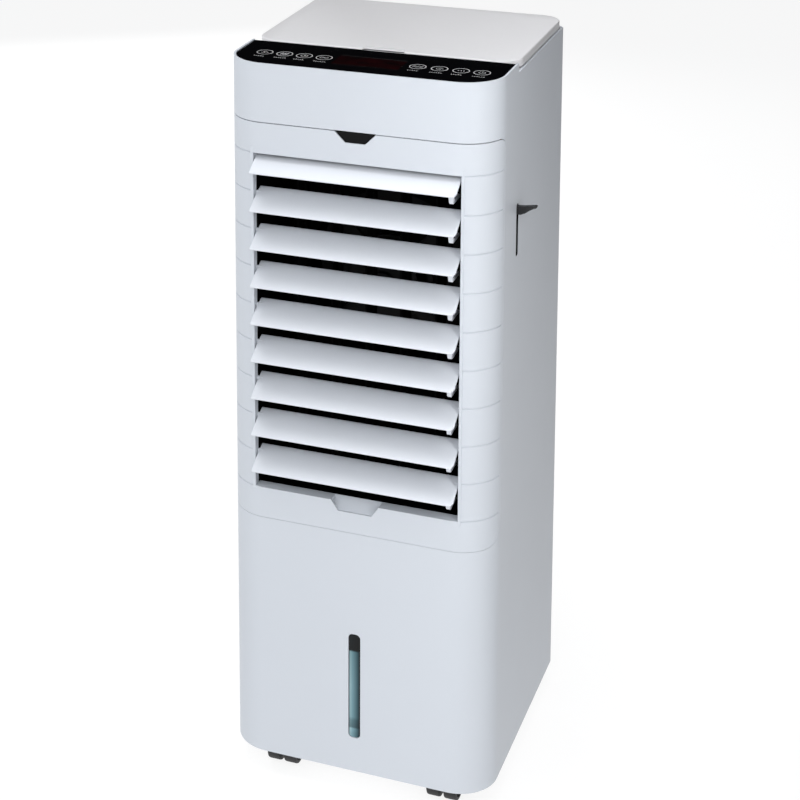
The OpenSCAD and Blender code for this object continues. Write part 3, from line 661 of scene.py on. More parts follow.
def make_blade():
    """One blade with its pins and crank, with its hinge line on the X axis."""
    bm = bmesh.new()
    stations = [-LOUVRE_HALF, -LOUVRE_HALF + 0.5 * MM, -LOUVRE_HALF + 40 * MM, 0, LOUVRE_HALF - 40 * MM]
    ramp = [LOUVRE_HALF - CORNER_X - 0.6 * MM]
    ramp += [LOUVRE_HALF - CORNER_X + CORNER_X * i / 8 for i in range(9)]
    rings = []
    for x in stations + ramp:
        into = (max(0.0, x - (LOUVRE_HALF - CORNER_X)) / CORNER_X) ** 1.2
        front = BLADE_FRONT - 0.8 * MM - CORNER_Y * into
        shrink = 0.35 * MM if abs(abs(x) - LOUVRE_HALF) < 1e-6 else 0
        section = blade_section(front - shrink, BLADE_BACK - 1.2 * MM - shrink)
        rings.append([bm.verts.new((x, y * cos(TILT) - z * sin(TILT), y * sin(TILT) + z * cos(TILT)))
                      for y, z in section])
    for a, b in zip(rings, rings[1:]):
        for i in range(len(a)):
            j = (i + 1) % len(a)
            bm.faces.new((a[i], a[j], b[j], b[i]))
    bm.faces.new(rings[0])
    bm.faces.new(rings[-1])
    blade = from_bmesh("blade", bm)
    smoothed(blade, 50)
    pins = [tube_along("pin", [(s * (LOUVRE_HALF - 4 * MM), 0, 0), (s * (OUTLET_X + 2.8 * MM), 0, 0)], 2.5 * MM, 24)
            for s in (-1, 1)]
    stem_z = CRANK_PIN[1]
    lug = [(-10.5 * MM, -2.5 * MM), (-5.5 * MM, -1.5 * MM), (-5.2 * MM, stem_z + 2.4 * MM),
           (CRANK_PIN[0], stem_z + 2.4 * MM)]
    lug += arc(CRANK_PIN[0], stem_z, 2.4 * MM, 90, -90, 8)
    lug += [(-5.8 * MM, stem_z - 2.4 * MM), (-7.8 * MM, stem_z - 0.8 * MM)]
    crank = prism("crank", lug, CRANK_X - 3.6 * MM, CRANK_X + 3.6 * MM, "X")
    for v in crank.data.vertices:
        taper = min(1.0, max(0.0, (-v.co.z - 6 * MM) / (20 * MM)))
        v.co.x = CRANK_X + (v.co.x - CRANK_X) * (1.25 - 0.6 * taper)
    softened(crank, 0.5 * MM, 2)
    pin = tube_along("pin", [(CRANK_X - 7 * MM, *CRANK_PIN), (CRANK_X, *CRANK_PIN)], 1.6 * MM, 20)
    return joined("louvre_blade", blade, crank, pin, *pins)


def copies_tree():
    """Geometry nodes that set copies of one piece along a line, each turned further, and give them a finish."""
    tree = bpy.data.node_groups.new("copies_of_a_piece", "GeometryNodeTree")
    face = tree.interface
    face.new_socket(name="Geometry", in_out="INPUT", socket_type="NodeSocketGeometry")
    for label, kind, value in (("Piece", "NodeSocketObject", None), ("Count", "NodeSocketInt", 1),
                               ("Start", "NodeSocketVector", (0, 0, 0)), ("Step", "NodeSocketVector", (0, 0, 0)),
                               ("Turn", "NodeSocketVector", (0, 0, 0)), ("Finish", "NodeSocketMaterial", None)):
        socket = face.new_socket(name=label, in_out="INPUT", socket_type=kind)
        if value is not None:
            socket.default_value = value
    face.new_socket(name="Geometry", in_out="OUTPUT", socket_type="NodeSocketGeometry")
    new = tree.nodes.new
    gin, gout = new("NodeGroupInput"), new("NodeGroupOutput")
    line = new("GeometryNodeMeshLine")
    line.mode = "OFFSET"
    index, turned_by = new("GeometryNodeInputIndex"), new("ShaderNodeVectorMath")
    turned_by.operation = "SCALE"
    piece = new("GeometryNodeObjectInfo")
    piece.transform_space = "ORIGINAL"
    place, real = new("GeometryNodeInstanceOnPoints"), new("GeometryNodeRealizeInstances")
    finish = new("GeometryNodeSetMaterial")
    wire(tree, [(gin.outputs["Count"], line.inputs["Count"]), (gin.outputs["Start"], line.inputs["Start Location"]),
                (gin.outputs["Step"], line.inputs["Offset"]), (gin.outputs["Turn"], turned_by.inputs[0]),
                (index.outputs[0], turned_by.inputs["Scale"]), (gin.outputs["Piece"], piece.inputs["Object"]),
                (line.outputs["Mesh"], place.inputs["Points"]),
                (piece.outputs["Geometry"], place.inputs["Instance"]),
                (turned_by.outputs["Vector"], place.inputs["Rotation"]),
                (place.outputs["Instances"], real.inputs["Geometry"]),
                (real.outputs["Geometry"], finish.inputs["Geometry"]),
                (gin.outputs["Finish"], finish.inputs["Material"]),
                (finish.outputs["Geometry"], gout.inputs["Geometry"])])
    return tree


COPIES = copies_tree()
NO_MOVE = (0, 0, 0)


def copies_of(name, piece, count, start, step, turn, finish, keep=False):
    """A plain mesh of copies of a piece, in a row or round an axis."""
    obj = placed(name, bpy.data.meshes.new(name))
    row = obj.modifiers.new("copies", "NODES")
    row.node_group = COPIES
    sockets = {item.name: item.identifier for item in COPIES.interface.items_tree if item.in_out == "INPUT"}
    for label, value in (("Piece", piece), ("Count", count), ("Start", start), ("Step", step), ("Turn", turn),
                         ("Finish", finish)):
        row[sockets[label]] = value
    applied(obj)
    if not keep:
        bpy.data.objects.remove(piece)
    return obj


def make_louvres():
    blade = make_blade()
    for k in range(1, LOUVRES + 1):
        louvre = copies_of(f"louvre_blade_{k}", blade, 1, (0, PIVOT_Y, louvre_z(k)), NO_MOVE, NO_MOVE, LOUVRE_WHITE,
                           keep=True)
        finished(louvre, f"louvre_{k}", "louvre_white", LOUVRE_WHITE, f"louvre_{k}")
    bpy.data.objects.remove(blade)


def make_louvre_link():
    low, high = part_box("louvre_link")
    y = PIVOT_Y + CRANK_PIN[0]
    bar = block("bar", (low.x, y - 2.6 * MM, louvre_z(LOUVRES) + CRANK_PIN[1]),
                (high.x, y + 2.6 * MM, louvre_z(1) + CRANK_PIN[1]))
    eye = turned("eye", [(1.9 * MM, low.x), (3.6 * MM, low.x), (3.6 * MM, high.x), (1.9 * MM, high.x)],
                 (0, 0, 0), "X", 32)
    eyes = copies_of("eyes", eye, LOUVRES, (0, y, louvre_z(1) + CRANK_PIN[1]), (0, 0, -PITCH), NO_MOVE, INNER_BLACK_AND_PAINTED_SHADE)
    link = joined("louvre_link_bar", bar, eyes)
    finished(link, "louvre_link", "inner_black", INNER_BLACK_AND_PAINTED_SHADE, "louvre_link")


# ------------------------------------------------------------------ more finishes

def colour_steps(tree, factor, stops):
    ramp = tree.nodes.new("ShaderNodeValToRGB")
    tree.links.new(factor, ramp.inputs[0])
    points = ramp.color_ramp.elements
    for i, (at, color) in enumerate(stops):
        point = points[i] if i < 2 else points.new(at)
        point.position = at
        point.color = (*color, 1)
    return ramp.outputs[0]


def height_share(tree, where, low, high, axis="Z"):
    """Share of the way from low to high along an axis."""
    split = tree.nodes.new("ShaderNodeSeparateXYZ")
    tree.links.new(where, split.inputs[0])
    return maths(tree, "DIVIDE", maths(tree, "SUBTRACT", split.outputs[axis], low), high - low, True)


def level_tint_and_painted_light():
    """Tinted window with painted light: teal water below and painted shade of the empty tank above, with painted shade
    at the edges, a painted highlight near the left and a painted highlight line under the printed level mark.
    """
    mat, tree, shader, where = material("level_tint_and_painted_light")
    low, high = LEVEL_LOW.z, LEVEL_HIGH.z
    up = height_share(tree, where, low, high)
    across = height_share(tree, where, -7 * MM, 7 * MM, "X")
    # Painted light across the window: painted shade at both edges and a painted highlight near the left, over the teal
    # of the water.
    body = colour_steps(tree, across, [(0.0, (0.008, 0.012, 0.014)), (0.14, (0.27, 0.40, 0.43)),
                                       (0.32, (0.16, 0.28, 0.32)), (0.72, (0.045, 0.10, 0.12)),
                                       (0.9, (0.012, 0.022, 0.026))])
    # Painted light up the window: slight painted shade at the bottom, a painted highlight line under the darker
    # printed level mark, and painted shade of the empty tank over the top part.
    bands = colour_steps(tree, up, [(0.0, (0.9, 0.95, 0.95)), (0.06, (1, 1, 1)), (0.10, (1.2, 1.2, 1.2)),
                                    (0.115, (0.42, 0.45, 0.46)), (0.18, (0.55, 0.6, 0.6)), (0.21, (0.9, 0.95, 0.95)),
                                    (0.5, (1, 1, 1)), (0.815, (0.75, 0.8, 0.8)), (0.83, (0.012, 0.012, 0.013)),
                                    (1.0, (0.02, 0.02, 0.022))])
    mix = tree.nodes.new("ShaderNodeMix")
    mix.data_type, mix.blend_type = "RGBA", "MULTIPLY"
    mix.inputs[0].default_value = 1.0
    wire(tree, [(body, mix.inputs[6]), (bands, mix.inputs[7]), (mix.outputs[2], shader.inputs["Base Color"])])
    bumped(tree, shader, noise(tree, where, 60.0), 0.0001)
    shader.inputs["Roughness"].default_value = 0.2
    shader.inputs["Specular IOR Level"].default_value = 0.25
    return mat


def display_tint():
    mat, tree, shader, where = material("display_tint")
    glow = noise(tree, where, 45.0, 2.0)
    color = colour_steps(tree, glow, [(0.3, (0.001, 0.0008, 0.001)), (0.7, (0.012, 0.001, 0.0015))])
    wire(tree, [(color, shader.inputs["Base Color"])])
    shader.inputs["Roughness"].default_value = 0.1
    shader.inputs["Specular IOR Level"].default_value = 0.3
    return mat


def board_green(name, top):
    """Circuit board: solder mask with tracks, and dark parts that stand above the board."""
    mat, tree, shader, where = material(name)
    brick = tree.nodes.new("ShaderNodeTexBrick")
    brick.inputs["Scale"].default_value = 180.0
    brick.inputs["Mortar Size"].default_value = 0.03
    brick.inputs["Color1"].default_value = (0.012, 0.10, 0.035, 1)
    brick.inputs["Color2"].default_value = (0.016, 0.14, 0.05, 1)
    brick.inputs["Mortar"].default_value = (0.10, 0.28, 0.12, 1)
    tree.links.new(where, brick.inputs["Vector"])
    above = maths(tree, "GREATER_THAN", height_share(tree, where, top, top + 1 * MM), 0.4)
    mix = tree.nodes.new("ShaderNodeMix")
    mix.data_type = "RGBA"
    mix.inputs[7].default_value = (0.02, 0.02, 0.022, 1)
    wire(tree, [(above, mix.inputs[0]), (brick.outputs[0], mix.inputs[6]),
                (mix.outputs[2], shader.inputs["Base Color"])])
    shader.inputs["Roughness"].default_value = 0.35
    return mat


def woven_mesh():
    """Woven dust mesh: threads both ways with open holes between them."""
    mat, tree, shader, where = material("woven_mesh")
    split = tree.nodes.new("ShaderNodeSeparateXYZ")
    tree.links.new(where, split.inputs[0])
    holes = []
    for axis in ("X", "Z"):
        wave = maths(tree, "SINE", maths(tree, "MULTIPLY", split.outputs[axis], 2 * pi / 0.0021))
        holes.append(maths(tree, "LESS_THAN", wave, 0.25))
    thread = maths(tree, "SUBTRACT", 1.0, maths(tree, "MULTIPLY", holes[0], holes[1]))
    color = colour_steps(tree, noise(tree, where, 30.0), [(0.3, (0.10, 0.105, 0.11)), (0.7, (0.16, 0.165, 0.17))])
    wire(tree, [(color, shader.inputs["Base Color"]), (thread, shader.inputs["Alpha"])])
    shader.inputs["Roughness"].default_value = 0.6
    return mat


def pad_paper():
    mat, tree, shader, where = material("pad_paper")
    blot = noise(tree, where, 35.0, 5.0, 0.65)
    color = colour_steps(tree, blot, [(0.25, (0.16, 0.085, 0.035)), (0.6, (0.36, 0.21, 0.095)),
                                      (0.85, (0.50, 0.33, 0.17))])
    wire(tree, [(color, shader.inputs["Base Color"])])
    bumped(tree, shader, noise(tree, where, 900.0, 3.0), 0.0002)
    shader.inputs["Roughness"].default_value = 0.85
    return mat


def tank_plastic():
    mat, tree, shader, where = material("tank_plastic")
    color = colour_steps(tree, noise(tree, where, 5.0), [(0.3, (0.62, 0.68, 0.72)), (0.7, (0.68, 0.73, 0.76))])
    wire(tree, [(color, shader.inputs["Base Color"])])
    bumped(tree, shader, noise(tree, where, 800.0, 3.0), 0.00008)
    shader.inputs["Roughness"].default_value = 0.3
    shader.inputs["Transmission Weight"].default_value = 0.25
    shader.inputs["Coat Weight"].default_value = 0.1
    return mat


def milky_hose():
    mat, tree, shader, where = material("milky_hose")
    color = colour_steps(tree, noise(tree, where, 40.0), [(0.3, (0.60, 0.64, 0.64)), (0.7, (0.70, 0.73, 0.72))])
    wire(tree, [(color, shader.inputs["Base Color"])])
    shader.inputs["Roughness"].default_value = 0.35
    shader.inputs["Subsurface Weight"].default_value = 0.3
    shader.inputs["Subsurface Radius"].default_value = (0.004, 0.004, 0.004)
    return mat


LEVEL_TINT_AND_PAINTED_LIGHT = level_tint_and_painted_light()
DISPLAY_TINT = display_tint()
CONTROL_GREEN = board_green("control_green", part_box("control_board")[0].z + 1.8 * MM)
MAIN_GREEN = board_green("main_green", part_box("main_board")[0].z + 7 * MM)
WOVEN_MESH = woven_mesh()
PAD_PAPER = pad_paper()
TANK_PLASTIC = tank_plastic()
MILKY_HOSE = milky_hose()
PUMP_BLACK = moulded("pump_black", (0.02, 0.02, 0.023), 0.42, grain=500.0, depth=0.6, dust=0.05)
FILTER_WHITE = moulded("filter_white", (0.60, 0.625, 0.66), 0.4, depth=0.2)

# ------------------------------------------------------------------ front details


def panel_outline(inset):
    w, f, r = HALF_W - 2.8 * MM - inset, FRONT_Y + 2.8 * MM + inset, FRONT_R - 2.8 * MM - inset
    back = PANEL_HIGH.y - inset
    return (arc(-w + r, f + r, r, 180, 270, 40) + arc(w - r, f + r, r, 270, 360, 40) + [(w, back), (-w, back)])


def make_control_panel():
    panel = prism("control_panel_plate", panel_outline(0), PANEL_LOW.z, PANEL_HIGH.z)
    glass_low, glass_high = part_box("display_window")
    cut_with(panel, block("k", (glass_low.x - 0.1 * MM, glass_low.y - 0.1 * MM, glass_low.z),
                          (glass_high.x + 0.1 * MM, glass_high.y + 0.1 * MM, PANEL_HIGH.z + OUT)),
             block("k", (-120 * MM, PANEL_LOW.y + 18 * MM, PANEL_LOW.z - OUT),
                   (120 * MM, PANEL_HIGH.y - 18 * MM, PANEL_LOW.z + 2 * MM)))
    softened(panel, 0.35 * MM, 3)
    finished(panel, "cabinet", "panel_black", PANEL_BLACK, "control_panel")
    glass = block("display_pane", glass_low, (glass_high.x, glass_high.y, PANEL_HIGH.z - 0.05 * MM))
    softened(glass, 0.15 * MM)
    finished(glass, "cabinet", "display_red", DISPLAY_TINT, "display_window")


MARK_X = [-121.5 * MM, -98.2 * MM, -75.2 * MM, -52.2 * MM, 54.4 * MM, 78.7 * MM, 102.6 * MM, 125.6 * MM]
MARK_Y = -108.5 * MM
PRINT_Z = PANEL_HIGH.z


def stroke(a, b, width):
    """A flat printed stroke from a to b."""
    a, b = Vector(a), Vector(b)
    along = (b - a).normalized() * width / 2
    side = Vector((-along.y, along.x))
    return prism("stroke", [tuple(a - along - side), tuple(b + along - side), tuple(b + along + side),
                            tuple(a - along + side)], PRINT_Z - 0.02 * MM, PRINT_Z + 0.04 * MM)


def bent_stroke(points, width):
    return [stroke(a, b, width) for a, b in zip(points, points[1:])]


def make_marks():
    """Rings with plain symbols, and rows of dashes below them, printed on the panel."""
    prints = []
    w = 0.62 * MM
    for index, x in enumerate(MARK_X):
        y = MARK_Y
        prints.append(turned("ring", [(8.5 * MM, -0.02 * MM), (9.25 * MM, -0.02 * MM), (9.25 * MM, 0.04 * MM),
                                      (8.5 * MM, 0.04 * MM)], (x, y, PRINT_Z), "Z", 72))
        if index == 0:
            for a in (90, 210, 330):
                petal = arc(2.2 * MM * cos(radians(a)), 2.2 * MM * sin(radians(a)), 1.9 * MM, a, a + 250, 8)
                prints += bent_stroke([(x + u, y + v) for u, v in petal], w)
        elif index == 1:
            prints += [stroke((x + i * MM, y - 3 * MM), (x + (i + 1.6) * MM, y + 3 * MM), 1.1 * MM)
                       for i in (-4, -1, 2)]
        elif index == 2:
            prints += bent_stroke([(x + u, y + v) for u, v in arc(0, 0, 3.8 * MM, 0, 360, 20)], w)
            prints += bent_stroke([(x, y + 2.4 * MM), (x, y), (x + 1.9 * MM, y)], w)
        elif index == 3:
            for s in (-1, 1):
                prints += bent_stroke([(x + u, y + v) for u, v in arc(s * 2.6 * MM, 0, 2.2 * MM, 20, 340, 12)], w)
        elif index == 4:
            for s in (-1.8, 1.8):
                prints += bent_stroke([(x + i * 1.1 * MM, y + (s + 1.1 * sin(i * 1.3)) * MM) for i in range(-5, 6)], w)
        elif index == 5:
            prints += bent_stroke([(x + u, y + v) for u, v in arc(0, 0, 3.6 * MM, 60, 300, 14)], w)
            prints.append(stroke((x - 0.8 * MM, y), (x + 4.2 * MM, y), w))
        elif index == 6:
            prints += [stroke((x + i * MM, y - 0.6 * MM), (x + i * MM, y + 0.6 * MM), 1.0 * MM) for i in (-3, 0, 3)]
        else:
            prints += bent_stroke([(x + u, y + v) for u, v in arc(0, 0, 3.6 * MM, 120, 420, 16)], w)
            prints.append(stroke((x, y + 1.2 * MM), (x, y + 4.6 * MM), w))
        low = y - 17.6 * MM
        for i in range(5 + index % 2):
            u = x - 6.4 * MM + i * 2.5 * MM
            tall = 1.9 * MM if (i + index) % 3 else 2.9 * MM
            prints.append(stroke((u, low), (u, low + tall), 0.5 * MM))
            prints.append(stroke((u, low + (0.2 + 0.8 * ((i + index) % 2)) * MM),
                                 (u + 1.3 * MM, low + (0.2 + 0.8 * ((i + index) % 2)) * MM), 0.5 * MM))
    marks = joined("panel_prints", *prints)
    finished(marks, "cabinet", "lid_white", PRINT_WHITE)


def make_lid():
    lid = prism("lid_plate", rounded(LID_HIGH.x * 2, LID_HIGH.y - LID_LOW.y, 25 * MM, 0,
                                     (LID_LOW.y + LID_HIGH.y) / 2, 16), LID_LOW.z, LID_HIGH.z)
    softened(lid, 1.3 * MM, 4)
    axis = Vector(joint("lid_hinge")["pos_m"])
    under = prism("k", rounded(LID_HIGH.x * 2 - 6 * MM, LID_HIGH.y - LID_LOW.y - 6 * MM, 22 * MM, 0,
                               (LID_LOW.y + LID_HIGH.y) / 2, 12), LID_LOW.z - OUT, LID_HIGH.z - 2 * MM)
    ear_x = 104 * MM
    cutters = [under, prism("k", rounded(49 * MM, 12 * MM, 3 * MM, 0, LID_LOW.y), LID_LOW.z - OUT, LID_HIGH.z + OUT),
               block("k", (LID_LOW.x - OUT, axis.y - 6.5 * MM, LID_LOW.z - OUT),
                     (LID_HIGH.x + OUT, LID_HIGH.y + OUT, TOP_Z - 7.2 * MM))]
    for s in (-1, 1):
        cutters.append(block("k", (s * ear_x - 3.3 * MM, axis.y - 3.4 * MM, LID_LOW.z - OUT),
                             (s * ear_x + 3.3 * MM, LID_HIGH.y + OUT, TOP_Z - 2.2 * MM)))
    cut_with(lid, *cutters)
    smoothed(lid, 30)
    knuckles = []
    for s in (-1, 1):
        for o in (-5.2 * MM, 5.2 * MM):
            x = s * ear_x + o
            knuckle = prism("knuckle", arc(axis.y, axis.z, 3 * MM, 180, 360, 10)
                            + [(axis.y + 3 * MM, TOP_Z - 1 * MM), (axis.y - 3 * MM, TOP_Z - 1 * MM)],
                            x - 1.8 * MM, x + 1.8 * MM, "X")
            knuckles.append(softened(knuckle, 0.25 * MM))
    lid = joined("lid_plate", lid, *knuckles)
    finished(lid, "lid", "lid_white", LID_WHITE, "lid")


def make_level_window():
    low, high = LEVEL_LOW.z + 2.5 * MM, LEVEL_HIGH.z - 2.5 * MM
    pane = prism("level_window_pane", rounded(13.3 * MM, high - low - 0.4 * MM, 4.8 * MM, 0, (low + high) / 2, 12),
                 FRONT_Y + 0.5 * MM, FRONT_Y + 3.2 * MM, "Y")
    softened(pane, 0.9 * MM, 3)
    finished(pane, "cabinet", "level_teal", LEVEL_TINT_AND_PAINTED_LIGHT, "level_window")


def make_side_lever():
    low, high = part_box("side_lever")
    y, z = (low.y + high.y) / 2, 684.5 * MM
    side = [(-8, -5), (4, -5.2), (9, -3), (14, 0.6), (18, 3.0), (21.4, 4.2), (22.4, 5.2), (21.8, 6.6), (20.4, 6.9),
            (16, 6.2), (12, 5.6), (7, 4.9), (3, 4.6), (-8, 4.6)]
    blade = prism("lever_blade", [(HALF_W + u * MM, z + v * MM) for u, v in side], y - 3 * MM, y + 3 * MM, "Y")
    softened(blade, 0.9 * MM, 3, angle=28)
    shoe = block("shoe", (HALF_W - 10.6 * MM, y - 7 * MM, z - 6 * MM), (HALF_W - 7.4 * MM, y + 7 * MM, z + 6 * MM))
    softened(shoe, 0.5 * MM)
    lever = joined("swing_lever", blade, shoe)
    finished(lever, "side_lever", "inner_black", LEVER_BLACK, "side_lever")


def make_lever_guide():
    """Guide plate behind the slot, with a lip that lines it."""
    low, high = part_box("lever_guide")
    middle = (low.y + high.y) / 2
    plate = prism("guide_plate", rounded(high.y - low.y, high.z - low.z, 3 * MM, middle, (low.z + high.z) / 2),
                  low.x, high.x, "X")
    cut_with(plate, prism("k", rounded(7 * MM, 60 * MM, 2.5 * MM, middle, SLOT_Z), low.x - OUT, high.x + OUT, "X"))
    softened(plate, 0.3 * MM)
    lip = prism("guide_lip", rounded(8.9 * MM, 59.9 * MM, 2.9 * MM, middle, SLOT_Z), high.x, HALF_W - 0.1 * MM, "X")
    cut_with(lip, prism("k", rounded(7 * MM, 58.2 * MM, 2 * MM, middle, SLOT_Z), high.x - OUT, HALF_W + OUT, "X"))
    softened(lip, 0.15 * MM)
    guide = joined("lever_guide_plate", plate, lip)
    finished(guide, "cabinet", "inner_black", INNER_BLACK_AND_PAINTED_SHADE, "lever_guide")


# ------------------------------------------------------------------ casters

def make_wheels(k):
    low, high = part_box(f"caster_wheels_{k}")
    cx, cy, r = (low.x + high.x) / 2, (low.y + high.y) / 2, (high.z - low.z) / 2
    wheels = []
    for s in (-1, 1):
        near, far = 2.5 * MM, 17.5 * MM
        span = far - near
        shape = [(4.02, 0), (r / MM - 1.4, 0), (r / MM - 0.35, 0.5), (r / MM, 1.8), (r / MM, span / MM - 1.8),
                 (r / MM - 0.35, span / MM - 0.5), (r / MM - 1.4, span / MM), (r / MM - 3.6, span / MM),
                 (r / MM - 4.4, span / MM - 2.6), (7.4, span / MM - 2.9), (6.6, span / MM - 0.5), (6.0, span / MM),
                 (4.02, span / MM)]
        profile = [(a * MM * (0.55 if a < 4.1 else 1), cx + s * (near + h * MM)) for a, h in shape]
        wheels.append(turned("wheel", profile, (0, cy, r), "X", 64))
    wheel = joined(f"caster_wheel_pair_{k}", *wheels)
    smoothed(wheel, 38)
    finished(wheel, f"caster_wheels_{k}", "wheel_black", TREAD_BLACK, f"caster_wheels_{k}")


# ------------------------------------------------------------------ back

def make_rear_cover():
    """The back plate, open for the filter, the tank, the gland, the vents and the screw heads."""
    cover = prism("rear_cover_shell", plan(0), BASE_Z, COVER_HIGH.z)
    tank_x = TANK_HIGH.x + 0.6 * MM
    filter_hole = rounded(FILTER_HIGH.x * 2 + 1.2 * MM, FILTER_HIGH.z - FILTER_LOW.z + 1.2 * MM, 3 * MM, 0,
                          (FILTER_LOW.z + FILTER_HIGH.z) / 2)
    vent = prism("vent", rounded(14 * MM, 6 * MM, 1.2 * MM, 0, 0, 4), BACK_Y - 6 * MM, BACK_Y + OUT, "Y")
    vents = copies_of("vents", vent, 7, (-60 * MM, 0, 253 * MM), (20 * MM, 0, 0), NO_MOVE, INNER_BLACK_AND_PAINTED_SHADE)
    sink = turned("sink", [(0.0, BACK_Y - 4 * MM), (1.8 * MM, BACK_Y - 4 * MM), (1.8 * MM, BACK_Y - 1.5 * MM),
                           (4 * MM, BACK_Y - 1.5 * MM), (4 * MM, BACK_Y + OUT), (0.0, BACK_Y + OUT)],
                  (0, 0, 0), "Y", 32)
    sinks = []
    for s in (-1, 1):
        sinks.append(copies_of("sinks", sink, 3, (s * SCREW_X, 0, SCREW_HEIGHTS[0]),
                               (0, 0, SCREW_HEIGHTS[1] - SCREW_HEIGHTS[0]), NO_MOVE, INNER_BLACK_AND_PAINTED_SHADE, keep=s < 0))
    cut_with(cover, prism("k", plan(WALL), BASE_Z - OUT, COVER_HIGH.z + OUT),
             block("k", (-HALF_W - OUT, FRONT_Y - OUT, BASE_Z - 2 * OUT),
                   (HALF_W + OUT, COVER_LOW.y, COVER_HIGH.z + 2 * OUT)),
             prism("k", filter_hole, BACK_Y - 6 * MM, BACK_Y + OUT, "Y"),
             block("k", (-tank_x, BACK_Y - 6 * MM, TANK_LOW.z - 1 * MM), (tank_x, BACK_Y + OUT, TANK_HIGH.z + 1 * MM)),
             prism("k", arc(-128 * MM, 262 * MM, 9.05 * MM, 0, 352.5, 47), BACK_Y - 6 * MM, BACK_Y + OUT, "Y"),
             vents, *sinks)
    softened(cover, 0.4 * MM, 2)
    finished(cover, "cabinet", "white_shell", SHELL_WHITE, "rear_cover")


def make_filter():
    low, high = FILTER_LOW, FILTER_HIGH
    rim = prism("filter_rim", rounded(high.x - low.x, high.z - low.z, 2.5 * MM, 0, (low.z + high.z) / 2, 5), low.y,
                high.y, "Y")
    cutters = [block("k", (low.x + 12 * MM, low.y - OUT, low.z + 12 * MM),
                     (high.x - 12 * MM, high.y - 4 * MM, high.z - 12 * MM))]
    for s in (-1, 1):
        cutters.append(prism("k", rounded(100 * MM, high.z - low.z - 36 * MM, 2 * MM, s * 56 * MM,
                                          (low.z + high.z) / 2, 5), low.y - OUT, high.y + OUT, "Y"))
        cutters.append(prism("k", rounded(6 * MM, 52 * MM, 2.5 * MM, s * (high.x - 5 * MM), 560 * MM, 5),
                             high.y - 5 * MM, high.y + OUT, "Y"))
    cut_with(rim, *cutters)
    softened(rim, 0.6 * MM, 2)
    rows = 24
    step = (high.z - low.z - 30 * MM) / rows
    slat_side = [(high.y - 0.4 * MM, -3 * MM), (high.y - 0.4 * MM, 1.2 * MM), (high.y - 3.6 * MM, 3 * MM),
                 (high.y - 4 * MM, 3 * MM), (high.y - 4 * MM, -1 * MM)]
    parts = [rim]
    for s in (-1, 1):
        slat = prism("slat", slat_side, s * 56 * MM - 51 * MM, s * 56 * MM + 51 * MM, "X")
        softened(slat, 0.3 * MM)
        parts.append(copies_of("slats", slat, rows - 1, (0, 0, low.z + 15 * MM + step), (0, 0, step), NO_MOVE,
                               FILTER_WHITE))
    grille = joined("filter_grille", *parts)
    finished(grille, "filter", "white_shell", FILTER_WHITE, "filter_frame")
    low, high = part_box("filter_mesh")
    mesh = block("dust_mesh", (low.x, (low.y + high.y) / 2 - 0.2 * MM, low.z),
                 (high.x, (low.y + high.y) / 2 + 0.2 * MM, high.z))
    finished(mesh, "filter", "mesh_grey", WOVEN_MESH, "filter_mesh")


# ------------------------------------------------------------------ works inside

def refined(node, width, material, segments=2, angle=35):
    """A copy of a CAD piece with its edges rounded as moulded or pressed."""
    src = frame["nodes"][node]
    bm = bmesh.new()
    bm.from_mesh(src.data)
    bmesh.ops.remove_doubles(bm, verts=bm.verts, dist=2e-6)
    bmesh.ops.dissolve_limit(bm, angle_limit=radians(0.6), verts=bm.verts, edges=bm.edges)
    mesh = bpy.data.meshes.new(node + "_finish")
    bm.to_mesh(mesh)
    bm.free()
    obj = placed(node + "_finish", mesh)
    if width:
        softened(obj, width, segments, angle)
    else:
        smoothed(obj, angle)
    return finished(obj, src["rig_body"], NODE_SLOT[node], material, node)


NODE_SLOT = {entry["node"]: entry["material_slot"] for entry in frame["record"]["subparts"]}


def make_cooling_pad():
    """Sheets of paper with flutes slanted up and down in turn."""
    low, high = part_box("cooling_pad")
    sheets = 28
    gap = (high.x - low.x) / sheets
    parts = []
    for way in (0, 1):
        bm = bmesh.new()
        across, up = 6, 150
        grid = []
        for j in range(up + 1):
            z = low.z + (high.z - low.z) * j / up
            line = []
            for i in range(across + 1):
                y = low.y + (high.y - low.y) * i / across
                phase = 2 * pi * ((z - low.z) + (1 if way else -1) * (y - low.y) * 0.8) / (15 * MM)
                line.append((low.x + gap / 2 + gap * 0.42 * sin(phase), y, z))
            grid.append(line)
        thick = 0.3 * MM
        sides = [[[bm.verts.new((x + s * thick, y, z)) for x, y, z in line] for line in grid] for s in (-1, 1)]
        for side in sides:
            for j in range(up):
                for i in range(across):
                    bm.faces.new((side[j][i], side[j][i + 1], side[j + 1][i + 1], side[j + 1][i]))
        a, b = sides
        edge = ([(0, i) for i in range(across)] + [(j, across) for j in range(up)]
                + [(up, i) for i in range(across, 0, -1)] + [(j, 0) for j in range(up, 0, -1)])
        for (j, i), (m, n) in zip(edge, edge[1:] + edge[:1]):
            bm.faces.new((a[j][i], a[m][n], b[m][n], b[j][i]))
        sheet = from_bmesh("sheet", bm)
        smoothed(sheet, 60)
        parts.append(copies_of("sheets", sheet, sheets // 2, (way * gap, 0, 0), (2 * gap, 0, 0), NO_MOVE, PAD_PAPER))
    pad = joined("honeycomb_pad", *parts)
    finished(pad, "cabinet", "pad_brown", PAD_PAPER, "cooling_pad")


